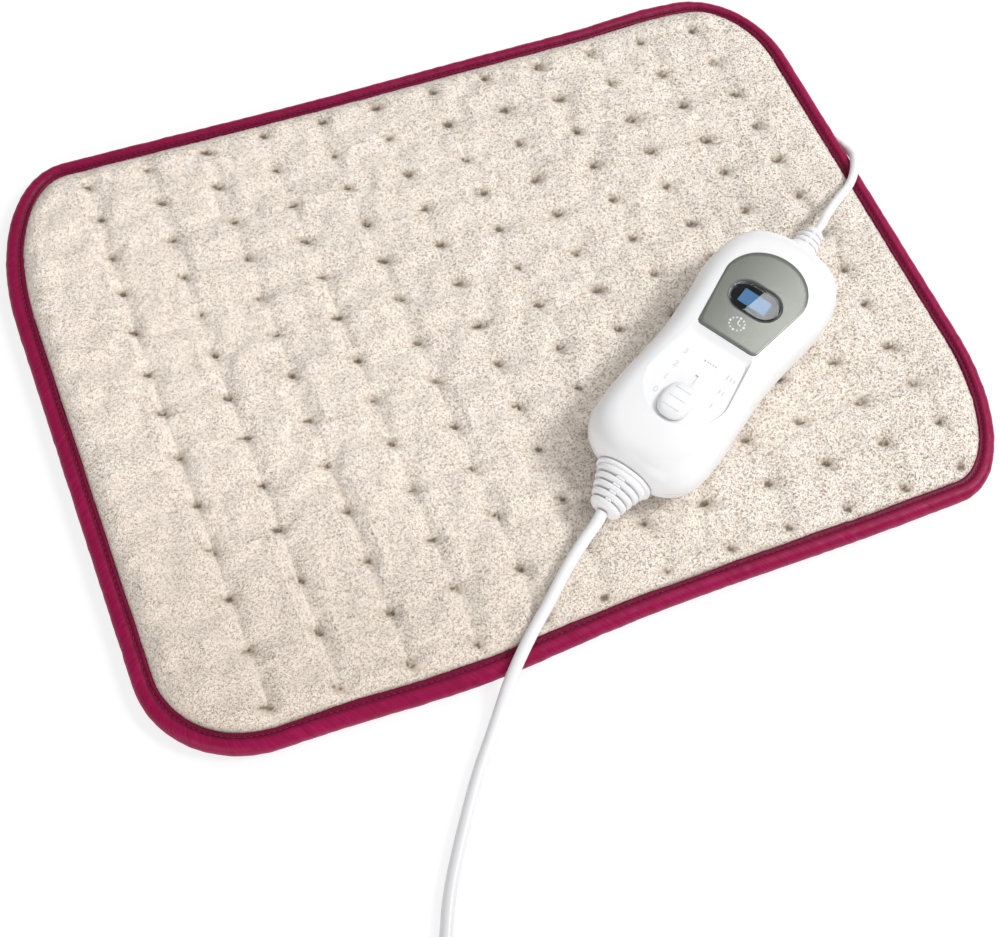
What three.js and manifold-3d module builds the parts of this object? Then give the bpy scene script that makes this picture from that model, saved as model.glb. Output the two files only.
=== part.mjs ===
// A heating pad with its slide controller, mains lead and plug. Millimetres, +Z up.
// The origin is the middle of the pad's underside. +X runs along the pad's long side,
// and the pad lies flat with the controller resting on its plush face.
import * as THREE from 'three';
import { mergeVertices } from 'three/addons/utils/BufferGeometryUtils.js';
import Module from 'manifold-3d';

const wasm = await Module();
wasm.setup();

const quarterTurn = Math.PI / 2;
const fullTurn = Math.PI * 2;

// Fits and cutting
const clearance = 0.3;
const overrun = 2;

// Pad outline and bound edge
const padLength = 400;
const padWidth = 300;
const padCornerRadius = 52;
const padCornerSteps = 6;
const bindingWidth = 8.4;
const bindingHeight = 8.2;
const bindingUnder = 1.2;
const rimInset = 2.4;

// Pad layers, from the underside up
const bottomCoverRim = 1.0;
const lowerFeltThickness = 1.0;
const wireDiameter = 1.8;
const wireRoom = 0.3;
const upperFeltThickness = 0.8;
const topCoverRim = 1.2;
const feltInset = 11;
const plushThin = 0.9;
const plushLoft = 4.7;
const plushShoulder = 9;

// Sewn tufts of the plush face
const tuftColumns = 12;
const tuftRows = 13;
const tuftPitchX = 28.8;
const tuftPitchY = 22.1;
const tuftShiftX = 4.3;
const tuftShiftY = 0.7;
const grooveShare = 0.55;
const ridgeDipShare = 0.84;

// Heating wire and safety cut-outs
const wireTurnRadius = tuftPitchX / 2;
const wireReturnRadius = 28;
const wireLowInset = 22;
const wireHighInset = 21;
const wireReturnInset = 16;
const wireReturnEndInset = 15.5;
const wireArcSteps = 2;
const cutoutLength = 12;
const cutoutWidth = 6;
const spliceDiameter = 2;
const spliceLength = 14;

// Controller place and outline
const controllerX = 76.9;
const controllerY = -58.7;
const controllerTurn = THREE.MathUtils.degToRad(31.7);
const controllerLength = 144.4;
const controllerWidth = 60.4;
const controllerBottom = 12.3;
const partingHeight = 26;
const faceHeight = 39.4;
const housingWall = 2.2;
const faceWall = 2.4;
const floorWall = 2.2;
const topEdgeInset = 10;
const bottomEdgeInset = 12;
const housingOutlineSteps = 36;
const domeSteps = 4;
const cornerSteps = 4;
const housingOutlineShares = [
  [1, 0],
  [0.983, 0.4],
  [0.914, 0.73],
  [0.776, 0.924],
  [0.554, 1],
  [0.222, 0.924],
  [-0.055, 0.881],
  [-0.332, 0.914],
  [-0.609, 0.94],
  [-0.817, 0.891],
  [-0.914, 0.758],
  [-0.985, 0.5],
  [-1, 0],
];

// Faceplate and display window
const faceplateNear = 2.2;
const faceplateWide = 35.2;
const faceplateFar = 54.5;
const faceplateNearHalf = 14.5;
const faceplateWideHalf = 19.5;
const faceplateThickness = 1.2;
const faceplateProud = 0.3;
const plateCornerRadius = 2.5;
const windowX = 27.2;
const windowLength = 16;
const windowWidth = 24;
const windowProud = 0.5;
const windowLedge = 1.5;
const displayThickness = 2.4;
const displayWall = 2.4;

// Slider recess, slot and knob
const recessNear = 1.5;
const recessWide = -26;
const recessFar = -47;
const recessNearHalf = 14.5;
const recessWideHalf = 18.5;
const recessDepth = 1.8;
const recessSlope = 0.8;
const recessRamp = 4.5;
const trayWall = 1.8;
const trayMargin = 1.6;
const knobX = -36.4;
const knobLength = 18;
const knobWidth = 14;
const knobHeight = 3.2;
const knobEdge = 1.3;
const knobRidgePitch = 5;
const knobRidgeWidth = 1;
const knobRidgeLength = 8.4;
const knobRidgeHeight = 0.5;
const knobTravel = 20.5;
const stemLength = 3;
const stemWidth = 1.8;
const stemEndInset = 2;
const carriageWidth = 12;
const carriageThickness = 1.2;
const carriageEndRoom = 14.8;
const forkLength = 9;
const forkWidth = 7;
const actuatorLength = 3.4;
const actuatorWidth = 2.6;

// Electronics
const boardLength = 104;
const boardWidth = 36;
const boardThickness = 1.6;
const boardCornerRadius = 5;
const boardHeight = 20;
const boardPostX = 44;
const boardPostY = 12;
const boardPostRadius = 3;
const switchWidth = 9;
const switchWall = 2;
const switchHeight = 7.4;
const terminalX = 47;
const terminalLength = 7;
const terminalWidth = 16;
const terminalHeight = 8;
const capacitorX = -28;
const capacitorY = -12;
const capacitorLength = 18;
const capacitorWidth = 8;
const capacitorHeight = 11;
const triacX = 6;
const triacY = 12;
const triacLength = 10;
const triacWidth = 4.6;
const triacHeight = 12;
const fuseX = 4;
const fuseY = -12;
const fuseLength = 20;
const fuseDiameter = 5.2;
const varistorX = -28;
const varistorY = 12;
const varistorDiameter = 10;
const varistorThickness = 4;
const chipX = 8;
const chipLength = 9;
const chipWidth = 7;
const chipHeight = 1.8;

// Housing screws
const screwX = 57;
const screwY = 13;
const postRadius = 3.6;
const screwShank = 2.6;
const screwHead = 5.2;
const screwHeadHeight = 1.8;
const screwLength = 17;
const counterboreDepth = 4.5;

// Moulded strain reliefs of the controller
const reliefHeight = 23.5;
const neckHalfWidth = 6;
const neckHalfHeight = 4;
const flangeHalfWidth = 7.6;
const flangeHalfHeight = 5;
const flangeThickness = 2;
const mainsReliefLength = 17;
const mainsReliefBase = 13;
const mainsReliefBaseHigh = 8.6;
const mainsReliefTip = 6;
const mainsReliefTipHigh = 4.6;
const mainsReliefRibs = 5;
const mainsReliefDrop = 3;
const mainsReliefSway = 1.4;
const padReliefLength = 15;
const padReliefBase = 6.6;
const padReliefBaseHigh = 6;
const padReliefTip = 4;
const padReliefTipHigh = 4;
const padReliefRibs = 4;
const padReliefDrop = -1.2;
const reliefSides = 10;
const grooveDepthShare = 0.8;

// Cords
const mainsCordDiameter = 5.2;
const padCordDiameter = 4.2;
const cordSides = 8;
const mainsCordSteps = 44;
const padCordSteps = 16;
const tailSteps = 14;

// The mains lead's route over the pad's edge and along the floor to the coil
const mainsRoute = [
  [-2.6, -110.2, 19.3],
  [-10.7, -115.4, 17.4],
  [-22.6, -124.4, 15.9],
  [-34.6, -134.8, 14.4],
  [-44.4, -142.8, 12.6],
  [-51.4, -149, 11.4],
  [-56.9, -154.2, 9.6],
  [-61.6, -159, 6.9],
  [-66.6, -164.8, 4.5],
  [-74.8, -174.5, 2.9],
  [-84.7, -185.9, 2.7],
  [-93.4, -197.3, 2.7],
  [-101.6, -208.7, 2.7],
  [-109.3, -220, 2.7],
  [-115, -229.6, 2.7],
  [-120.2, -240.2, 2.7],
  [-126.4, -252.3, 2.7],
  [-133, -264.4, 2.9],
  [-139.1, -277.2, 3.3],
];

// The short lead from the controller to the pad's edge
const padCordRoute = [
  [156.2, -9.6, 24.9],
  [161.4, -5.2, 23.7],
  [168.2, -0.1, 21.3],
  [176.4, 5.6, 18.6],
  [184.2, 10.8, 15.6],
  [190.4, 16.2, 13],
  [195.3, 21.8, 11.5],
  [199, 27.4, 10],
  [201.6, 31.8, 7.4],
  [202.8, 35.6, 5.4],
  [203.1, 39.2, 3.9],
];

// Lead inlet in the pad's bound edge
const glandOut = 2.3;
const glandPlace = 43.4;
const glandHeight = 3.5;
const glandHeading = THREE.MathUtils.degToRad(102);
const glandBendRadius = 17;
const glandTipRadius = 2.6;
const glandLength = 15;
const glandSteps = 5;
const glandEndHalfWidth = 4.2;
const glandEndHalfHeight = 2.4;

// Coil of the lead that is put away, with its tie
const coilX = -116.1;
const coilY = -310.9;
const coilInnerRadius = 23;
const coilPitch = 5.85;
const coilLayers = 4;
const coilTurns = 8.84;
const coilStartAngle = THREE.MathUtils.degToRad(154.5);
const coilStepsPerTurn = 24;
const coilSides = 6;
const coilBottom = 1;
const tieThickness = 0.6;
const tieWidth = 5;
const tieAngle = THREE.MathUtils.degToRad(250);
const tieSteps = 3;

// From the coil's last turn to the plug
const tailRoute = [
  [-131.4, -276.7, 21],
  [-140.6, -278.1, 19],
  [-150, -279.8, 15.8],
  [-159.6, -282.8, 12.3],
  [-168.2, -288.6, 9.4],
  [-174.7, -298.2, 7.7],
];
const plugX = -177;
const plugReliefTipY = -309.3;
const plugAxisHeight = 7.2;
const plugReliefLength = 22;
const plugReliefRibs = 5;
const plugReliefBase = 5.4;
const plugReliefTip = 3.9;
const plugLength = 36;
const plugWidth = 35.3;
const plugThickness = 13.7;
const pinSpacing = 19;
const pinDiameter = 4;
const pinLength = 19;
const pinSleeveLength = 10;
const pinSleeveWall = 0.5;
const pinRootDepth = 8;
const pinSides = 10;

// Values that follow from the sizes above
const glandTip = new THREE.Vector3(padLength / 2 + glandOut, glandPlace, glandHeight);
const wireLowY = wireLowInset - padWidth / 2;
const wireHighY = padWidth / 2 - wireHighInset;
const wireReturnY = wireReturnInset - padWidth / 2;
const wireReturnX = padLength / 2 - wireReturnEndInset;
const bottomRimBase = bindingUnder + clearance;
const bottomRimTop = bottomRimBase + bottomCoverRim;
const lowerFeltBase = bottomRimTop + clearance;
const wireBase = lowerFeltBase + lowerFeltThickness;
const wireAxis = wireBase + wireRoom + wireDiameter / 2;
const upperFeltBase = wireBase + wireDiameter + wireRoom * 2;
const plushBase = upperFeltBase + upperFeltThickness + clearance;
const topRimTop = lowerFeltBase + topCoverRim;
const coverInset = bindingWidth + clearance;
const shellInset = feltInset - clearance;
const halfLength = controllerLength / 2;
const halfWidth = controllerWidth / 2;
const recessFloor = faceHeight - recessDepth;
const trayBase = recessFloor - trayWall;
const plateBase = faceHeight + faceplateProud - faceplateThickness;
const pocketFloor = plateBase - clearance;
const ceiling = faceHeight - faceWall;
const innerFloor = controllerBottom + floorWall;
const boardTop = boardHeight + boardThickness;
const partBase = boardTop + clearance;
const carriageTop = trayBase - clearance;
const carriageBase = carriageTop - carriageThickness;
const switchTop = partBase + switchHeight;
const stemX = knobX - knobLength / 2 + stemEndInset + stemLength / 2;
const coilOuterRadius = coilInnerRadius + (coilPitch * coilTurns) / coilLayers;
const coilAxis = coilBottom + mainsCordDiameter / 2;
const coilTopAxis = coilAxis + coilPitch * (coilLayers - 1);

// Solids and geometry

function positionsOnly(geometry) {
  const bare = geometry.clone();
  bare.deleteAttribute('normal');
  bare.deleteAttribute('uv');
  return mergeVertices(bare);
}

function solidOf(geometry) {
  const merged = positionsOnly(geometry);
  return new wasm.Manifold(new wasm.Mesh({
    numProp: 3,
    vertProperties: new Float32Array(merged.attributes.position.array),
    triVerts: new Uint32Array(merged.index.array),
  }));
}

function geometryOf(solid) {
  const mesh = solid.getMesh();
  const geometry = new THREE.BufferGeometry();
  geometry.setAttribute('position', new THREE.BufferAttribute(mesh.vertProperties, 3));
  geometry.setIndex(new THREE.BufferAttribute(mesh.triVerts, 1));
  geometry.computeVertexNormals();
  return geometry;
}

function joined(geometries) {
  return geometries.map(solidOf).reduce((whole, next) => whole.add(next));
}

function cut(base, tools) {
  return tools.map(solidOf).reduce((whole, tool) => whole.subtract(tool), base);
}

function signedVolume(vertices, triangles) {
  let total = 0;
  for (const [a, b, c] of triangles) {
    total += vertices[a].dot(new THREE.Vector3().crossVectors(vertices[b], vertices[c]));
  }
  return total;
}

// A closed body from its corners and triangles, turned so that its faces point out.
function body(vertices, triangles) {
  const outward = signedVolume(vertices, triangles) > 0;
  const order = triangles.map(([a, b, c]) => (outward ? [a, b, c] : [a, c, b]));
  const geometry = new THREE.BufferGeometry().setFromPoints(vertices);
  geometry.setIndex(order.flat());
  geometry.computeVertexNormals();
  return geometry;
}

function quadsBetween(row, nextRow, count) {
  const triangles = [];
  for (let i = 0; i < count; i += 1) {
    const j = (i + 1) % count;
    triangles.push([row + i, row + j, nextRow + j], [row + i, nextRow + j, nextRow + i]);
  }
  return triangles;
}

// A body through rings of equal count. Flat level rings may be hollow in outline.
function loft(rings, level = false) {
  const count = rings[0].length;
  const triangles = [];
  for (let k = 0; k + 1 < rings.length; k += 1) {
    triangles.push(...quadsBetween(k * count, (k + 1) * count, count));
  }
  const ends = [0, (rings.length - 1) * count];
  for (const [side, start] of ends.entries()) {
    const cap = level
      ? THREE.ShapeUtils.triangulateShape(rings[side ? rings.length - 1 : 0], [])
      : Array.from({ length: count - 2 }, (_, i) => [0, i + 1, i + 2]);
    const clockwise = level && THREE.ShapeUtils.isClockWise(rings[0]);
    for (const [a, b, c] of cap) {
      const flip = (side === 0) !== clockwise;
      triangles.push(flip ? [start + a, start + c, start + b] : [start + a, start + b, start + c]);
    }
  }
  return body(rings.flat(), triangles);
}

// A closed ring, such as a bound edge: every row is a closed loop, and so is each column.
function closedGrid(rows) {
  const count = rows[0].length;
  const triangles = rows.flatMap((_, k) => (
    quadsBetween(k * count, ((k + 1) % rows.length) * count, count)));
  return body(rows.flat(), triangles);
}

function roundedPoints(length, width, radius, inset, steps) {
  const points = [];
  const cornerX = length / 2 - radius;
  const cornerY = width / 2 - radius;
  const turns = [[1, 1], [-1, 1], [-1, -1], [1, -1]];
  for (const [corner, [signX, signY]] of turns.entries()) {
    for (let step = 0; step <= steps; step += 1) {
      const angle = quarterTurn * (corner + step / steps);
      points.push(new THREE.Vector2(
        signX * cornerX + (radius - inset) * Math.cos(angle),
        signY * cornerY + (radius - inset) * Math.sin(angle),
      ));
    }
  }
  return points;
}

function padOutline(inset) {
  return roundedPoints(padLength, padWidth, padCornerRadius, inset, padCornerSteps);
}

function prism(points, base, top) {
  const geometry = new THREE.ExtrudeGeometry(new THREE.Shape(points), {
    depth: top - base,
    bevelEnabled: false,
  });
  return geometry.translate(0, 0, base);
}

function block(length, width, base, top, x = 0, y = 0) {
  const geometry = new THREE.BoxGeometry(length, width, top - base);
  return geometry.translate(x, y, (base + top) / 2);
}

function upright(radius, base, top, x, y, sides = reliefSides) {
  const geometry = new THREE.CylinderGeometry(radius, radius, top - base, sides);
  return geometry.rotateX(quarterTurn).translate(x, y, (base + top) / 2);
}

function racetrack(length, width, steps, x = 0, y = 0) {
  const radius = Math.min(length, width) / 2;
  const points = roundedPoints(length, width, radius, 0, steps);
  return points.map((point) => point.add(new THREE.Vector2(x, y)));
}

// A route through chosen stations, which a section follows without resampling.
class StationCurve extends THREE.Curve {
  constructor(stations) {
    super();
    this.stations = stations;
  }

  getPoint(share, target = new THREE.Vector3()) {
    const last = this.stations.length - 1;
    const place = Math.min(share, 1) * last;
    const index = Math.min(Math.floor(place + Number.EPSILON * last), last - 1);
    return target.lerpVectors(this.stations[index], this.stations[index + 1], place - index);
  }

  getPointAt(share, target) {
    return this.getPoint(share, target);
  }

  getTangent(share, target = new THREE.Vector3()) {
    const last = this.stations.length - 1;
    const index = Math.round(share * last);
    const before = this.stations[Math.max(index - 1, 0)];
    const after = this.stations[Math.min(index + 1, last)];
    const here = this.stations[index];
    const arriving = here.clone().sub(before).normalize();
    const leaving = after.clone().sub(here).normalize();
    return target.copy(arriving).add(leaving).normalize();
  }

  getTangentAt(share, target) {
    return this.getTangent(share, target);
  }
}

function sectionShape(radius, sides) {
  const points = Array.from({ length: sides }, (_, i) => {
    const angle = (fullTurn * (i + 1 / 2)) / sides;
    return new THREE.Vector2(radius * Math.cos(angle), radius * Math.sin(angle));
  });
  return new THREE.Shape(points);
}

function tubeAlong(stations, diameter, sides) {
  return new THREE.ExtrudeGeometry(sectionShape(diameter / 2, sides), {
    steps: stations.length - 1,
    extrudePath: new StationCurve(stations),
    bevelEnabled: false,
  });
}

function vectors(points) {
  return points.map(([x, y, z]) => new THREE.Vector3(x, y, z));
}

function smoothStations(points, steps) {
  return new THREE.CatmullRomCurve3(points, false, 'centripetal').getSpacedPoints(steps);
}

// A route of straight runs with round corners of one radius each.
function roundedRoute(corners, arcSteps) {
  const stations = [corners[0].point];
  for (let i = 1; i + 1 < corners.length; i += 1) {
    const { point, radius } = corners[i];
    const back = corners[i - 1].point.clone().sub(point).normalize();
    const ahead = corners[i + 1].point.clone().sub(point).normalize();
    const centre = point.clone().addScaledVector(back, radius).addScaledVector(ahead, radius);
    for (let step = 0; step <= arcSteps; step += 1) {
      const angle = (quarterTurn * step) / arcSteps;
      const next = centre.clone()
        .addScaledVector(ahead, -radius * Math.cos(angle))
        .addScaledVector(back, -radius * Math.sin(angle));
      if (next.distanceTo(stations[stations.length - 1]) > clearance) {
        stations.push(next);
      }
    }
  }
  stations.push(corners[corners.length - 1].point);
  return stations;
}

// An oval ring across a heading, level side to side.
function ovalRing(centre, heading, halfAcross, halfHigh, sides) {
  const across = new THREE.Vector3(-heading.y, heading.x, 0).normalize();
  const up = new THREE.Vector3().crossVectors(heading, across).normalize();
  return Array.from({ length: sides }, (_, i) => {
    const angle = (fullTurn * (i + 1 / 2)) / sides;
    return centre.clone()
      .addScaledVector(across, halfAcross * Math.cos(angle))
      .addScaledVector(up, halfHigh * Math.sin(angle));
  });
}

// Pad

function bindingGeometry() {
  const slotInset = rimInset - clearance;
  const slotTop = topRimTop + clearance;
  const beadShares = [[0.14, 0], [0.02, 0.2], [0, 0.48], [0.08, 0.78], [0.32, 0.97],
    [0.62, 1], [0.9, 0.88], [1, 0.7]];
  const bead = beadShares.map(([across, high]) => [across * bindingWidth, high * bindingHeight]);
  const section = [
    ...bead,
    [bindingWidth, slotTop],
    [slotInset, slotTop],
    [slotInset, bindingUnder],
    [bindingWidth, bindingUnder],
    [bindingWidth, 0],
  ];
  const rows = section.map(([inset, height]) => (
    padOutline(inset).map((point) => new THREE.Vector3(point.x, point.y, height))));
  return geometryOf(cut(solidOf(closedGrid(rows)), [glandGeometry(clearance)]));
}

function bottomCoverGeometry() {
  const cover = joined([
    prism(padOutline(rimInset), bottomRimBase, bottomRimTop),
    prism(padOutline(coverInset), 0, bottomRimTop),
  ]);
  return geometryOf(cut(cover, [glandGeometry(clearance)]));
}

function feltGeometry(base, thickness) {
  return prism(padOutline(feltInset), base, base + thickness);
}

function gridLines(pitch, count, shift, half) {
  const lines = [-half - overrun, -half, -half + plushShoulder];
  const first = shift - (pitch * count) / 2;
  for (let i = 0; i <= count * 2; i += 1) {
    lines.push(first + (i * pitch) / 2);
  }
  lines.push(half - plushShoulder, half, half + overrun);
  const sorted = lines.filter((line) => Math.abs(line) <= half + overrun).sort((a, b) => a - b);
  return sorted.filter((line, i) => i === 0 || line - sorted[i - 1] > pitch / tuftRows);
}

// How far inside the plush face's rounded outline a point lies.
function depthInside(x, y) {
  const radius = padCornerRadius - coverInset;
  const acrossX = Math.abs(x) - (padLength / 2 - padCornerRadius);
  const acrossY = Math.abs(y) - (padWidth / 2 - padCornerRadius);
  const outside = Math.hypot(Math.max(acrossX, 0), Math.max(acrossY, 0));
  return radius - outside - Math.min(Math.max(acrossX, acrossY), 0);
}

// 1 on a tuft's line, 0 half-way between two.
function onLine(place, pitch, count, shift) {
  const share = (place - shift) / pitch + (count - 1) / 2;
  const nearest = Math.min(Math.max(Math.round(share), 0), count - 1);
  return Math.max(0, 1 - 2 * Math.abs(share - nearest));
}

function plushHeight(x, y) {
  const onColumn = onLine(x, tuftPitchX, tuftColumns, tuftShiftX);
  const onRow = onLine(y, tuftPitchY, tuftRows, tuftShiftY);
  const groove = 1 - onColumn * (1 - grooveShare);
  const ridge = 1 - onRow * (1 - ridgeDipShare);
  const share = groove * ridge - onColumn * onRow * grooveShare * ridgeDipShare;
  const quilted = plushBase + plushThin + share * (plushLoft - plushThin);
  const crown = plushBase + plushLoft;
  const rise = Math.min(Math.max(depthInside(x, y) / plushShoulder, 0), 1);
  return Math.min(quilted, plushBase + plushThin + (crown - plushBase - plushThin) * rise);
}

function plushGeometry() {
  const xs = gridLines(tuftPitchX, tuftColumns, tuftShiftX, padLength / 2 - coverInset);
  const ys = gridLines(tuftPitchY, tuftRows, tuftShiftY, padWidth / 2 - coverInset);
  const base = lowerFeltBase;
  const vertices = [];
  for (const y of ys) {
    for (const x of xs) {
      vertices.push(new THREE.Vector3(x, y, plushHeight(x, y)));
    }
  }
  const width = xs.length;
  const rim = [];
  for (let i = 0; i < width; i += 1) rim.push(i);
  for (let j = 1; j < ys.length; j += 1) rim.push(j * width + width - 1);
  for (let i = width - 2; i >= 0; i -= 1) rim.push((ys.length - 1) * width + i);
  for (let j = ys.length - 2; j > 0; j -= 1) rim.push(j * width);
  const below = vertices.length;
  for (const index of rim) {
    vertices.push(vertices[index].clone().setZ(base));
  }
  const hub = vertices.length;
  vertices.push(new THREE.Vector3(0, 0, base));
  const triangles = [];
  for (let j = 0; j + 1 < ys.length; j += 1) {
    for (let i = 0; i + 1 < width; i += 1) {
      const a = j * width + i;
      const [b, c, d] = [a + 1, a + 1 + width, a + width];
      const slanted = (i + j) % 2 === 0;
      triangles.push(...(slanted ? [[a, b, c], [a, c, d]] : [[a, b, d], [b, c, d]]));
    }
  }
  for (let k = 0; k < rim.length; k += 1) {
    const next = (k + 1) % rim.length;
    triangles.push([rim[k], below + k, rim[next]], [rim[next], below + k, below + next]);
    triangles.push([below + next, below + k, hub]);
  }
  const crown = plushBase + plushThin + plushLoft;
  const face = solidOf(body(vertices, triangles))
    .intersect(solidOf(prism(padOutline(coverInset), base, crown)));
  const rimPlate = solidOf(prism(padOutline(rimInset), base, topRimTop));
  const pocket = prism(padOutline(shellInset), base - overrun, plushBase);
  return geometryOf(cut(face.add(rimPlate), [pocket, glandGeometry(clearance)]));
}

function heatingWireGeometry() {
  const columnX = (column) => tuftShiftX + (column - tuftColumns / 2) * tuftPitchX;
  const corner = (x, y, radius) => ({ point: new THREE.Vector3(x, y, wireAxis), radius });
  const inletY = glandTip.y + spliceLength / 2;
  const corners = [corner(columnX(tuftColumns), inletY - clearance, 0)];
  for (let column = tuftColumns; column > 0; column -= 1) {
    const y = (tuftColumns - column) % 2 === 0 ? wireLowY : wireHighY;
    corners.push(corner(columnX(column), y, wireTurnRadius));
    corners.push(corner(columnX(column - 1), y, wireTurnRadius));
  }
  corners.push(corner(columnX(0), wireReturnY, wireReturnRadius));
  corners.push(corner(wireReturnX, wireReturnY, wireReturnRadius));
  corners.push(corner(wireReturnX, inletY - spliceLength - clearance, 0));
  return tubeAlong(roundedRoute(corners, wireArcSteps), wireDiameter, coilSides);
}

function spliceGeometry(x, y) {
  const ends = [new THREE.Vector3(x, y, wireAxis), new THREE.Vector3(x, y + spliceLength, wireAxis)];
  return tubeAlong(ends, spliceDiameter, cordSides);
}

function cutoutGeometry(column) {
  const x = tuftShiftX + (column - (tuftColumns - 1) / 2) * tuftPitchX;
  const base = wireBase + clearance;
  const top = upperFeltBase - clearance;
  return block(cutoutLength, cutoutWidth, base, top, x, tuftShiftY);
}

function glandHeadingAt(along) {
  const angle = glandHeading + along / glandBendRadius;
  return new THREE.Vector3(Math.cos(angle), Math.sin(angle), 0);
}

// A nozzle that bends in under the bound edge, its inner end flat and wide.
function glandGeometry(grow) {
  const tipSide = new THREE.Vector3(-Math.sin(glandHeading), Math.cos(glandHeading), 0);
  const centre = glandTip.clone().addScaledVector(tipSide, glandBendRadius);
  const rings = Array.from({ length: glandSteps + 1 }, (_, step) => {
    const share = step / glandSteps;
    const along = (glandLength + grow * 2) * share - grow;
    const heading = glandHeadingAt(along);
    const outward = new THREE.Vector3(heading.y, -heading.x, 0);
    const middle = centre.clone().addScaledVector(outward, glandBendRadius);
    const across = glandTipRadius + (glandEndHalfWidth - glandTipRadius) * share * share;
    const high = glandTipRadius + (glandEndHalfHeight - glandTipRadius) * share * share;
    return ovalRing(middle, heading, across + grow, high + grow, reliefSides);
  });
  return loft(rings);
}

// Controller housing

const housingBase = new THREE.CatmullRomCurve3(
  [
    ...housingOutlineShares,
    ...housingOutlineShares.slice(1, -1).reverse().map(([along, across]) => [along, -across]),
  ].map(([along, across]) => new THREE.Vector3(along * halfLength, across * halfWidth, 0)),
  true,
  'centripetal',
).getSpacedPoints(housingOutlineSteps).slice(0, -1);

function housingRing(inset, height) {
  return housingBase.map((point) => new THREE.Vector3(
    point.x * (1 - inset / halfLength),
    point.y * (1 - inset / halfWidth),
    height,
  ));
}

function domeRings(inset, edgeInset, base, rise) {
  return Array.from({ length: domeSteps + 1 }, (_, step) => {
    const angle = (quarterTurn * step) / domeSteps;
    return housingRing(inset + edgeInset * (1 - Math.cos(angle)), base + rise * Math.sin(angle));
  });
}

// A shield: straight near edge with small corners, widening sides and a round far end.
function shield(near, wide, far, nearHalf, wideHalf, grow = 0, nearGrow = grow) {
  const outward = Math.sign(far - near);
  const edge = near - outward * nearGrow;
  const points = [];
  const steps = housingOutlineSteps / 4;
  for (let step = 0; step <= steps; step += 1) {
    const angle = (Math.PI * step) / steps - quarterTurn;
    points.push(new THREE.Vector2(
      wide + (far + outward * grow - wide) * Math.cos(angle),
      (wideHalf + grow) * Math.sin(angle),
    ));
  }
  const corner = Math.min(plateCornerRadius, nearHalf);
  points.push(new THREE.Vector2(edge + outward * corner, nearHalf + grow));
  points.push(new THREE.Vector2(edge, nearHalf + grow - corner));
  points.push(new THREE.Vector2(edge, -(nearHalf + grow - corner)));
  points.push(new THREE.Vector2(edge + outward * corner, -(nearHalf + grow)));
  return points;
}

function recessGeometry() {
  const ring = (grow, nearGrow, height) => (
    shield(recessNear, recessWide, recessFar, recessNearHalf, recessWideHalf, grow, nearGrow)
      .map((point) => new THREE.Vector3(point.x, point.y, height)));
  const top = faceHeight;
  const slopePerHeight = recessSlope / recessDepth;
  const rampPerHeight = recessRamp / recessDepth;
  return loft([
    ring(-recessSlope, -recessRamp, recessFloor),
    ring(0, 0, top),
    ring(overrun * slopePerHeight, Math.min(overrun * rampPerHeight, clearance), top + overrun),
  ], true);
}

function reliefNotches() {
  const neckLength = topEdgeInset * 2;
  return [-1, 1].map((side) => {
    const start = new THREE.Vector3(side * (halfLength - neckLength), 0, reliefHeight);
    const end = new THREE.Vector3(side * (halfLength + neckLength), 0, reliefHeight);
    const heading = end.clone().sub(start).normalize();
    const [across, high] = [neckHalfWidth + clearance, neckHalfHeight + clearance];
    return loft([start, end].map((centre) => ovalRing(centre, heading, across, high, reliefSides)));
  });
}

function screwPlaces() {
  return [[-1, -1], [1, -1], [1, 1], [-1, 1]].map(([signX, signY]) => (
    [signX * screwX, signY * screwY]));
}

function upperHousingGeometry() {
  const base = partingHeight + clearance / 2;
  const outer = solidOf(loft(domeRings(0, topEdgeInset, base, faceHeight - base), true));
  const hollow = solidOf(loft([
    housingRing(housingWall, base - overrun),
    ...domeRings(housingWall, topEdgeInset, base, ceiling - base),
  ], true));
  const trayOutline = shield(
    recessNear, recessWide, recessFar, recessNearHalf, recessWideHalf, trayMargin);
  const tray = solidOf(prism(trayOutline, trayBase, faceHeight)).intersect(outer);
  const posts = screwPlaces().map(([x, y]) => (
    solidOf(upright(postRadius, base, faceHeight, x, y)).intersect(outer)));
  const shell = posts.reduce((whole, post) => whole.add(post), outer.subtract(hollow).add(tray));
  const slotLength = stemLength + knobTravel + clearance * 2;
  const slotX = stemX + knobTravel / 2;
  const plate = shield(faceplateNear, faceplateWide, faceplateFar, faceplateNearHalf,
    faceplateWideHalf, clearance);
  const opening = racetrack(windowLength - windowLedge * 2, windowWidth - windowLedge * 2,
    cornerSteps, windowX);
  const screwTop = controllerBottom + counterboreDepth + screwLength;
  return geometryOf(cut(shell, [
    recessGeometry(),
    block(slotLength, stemWidth + clearance * 2, trayBase - overrun, faceHeight, slotX),
    prism(plate, pocketFloor, faceHeight + overrun),
    prism(opening, ceiling - overrun, faceHeight + overrun),
    ...screwPlaces().map(([x, y]) => (
      upright(screwShank / 2 + clearance, base - overrun, screwTop + clearance, x, y))),
    ...reliefNotches(),
  ]));
}

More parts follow.
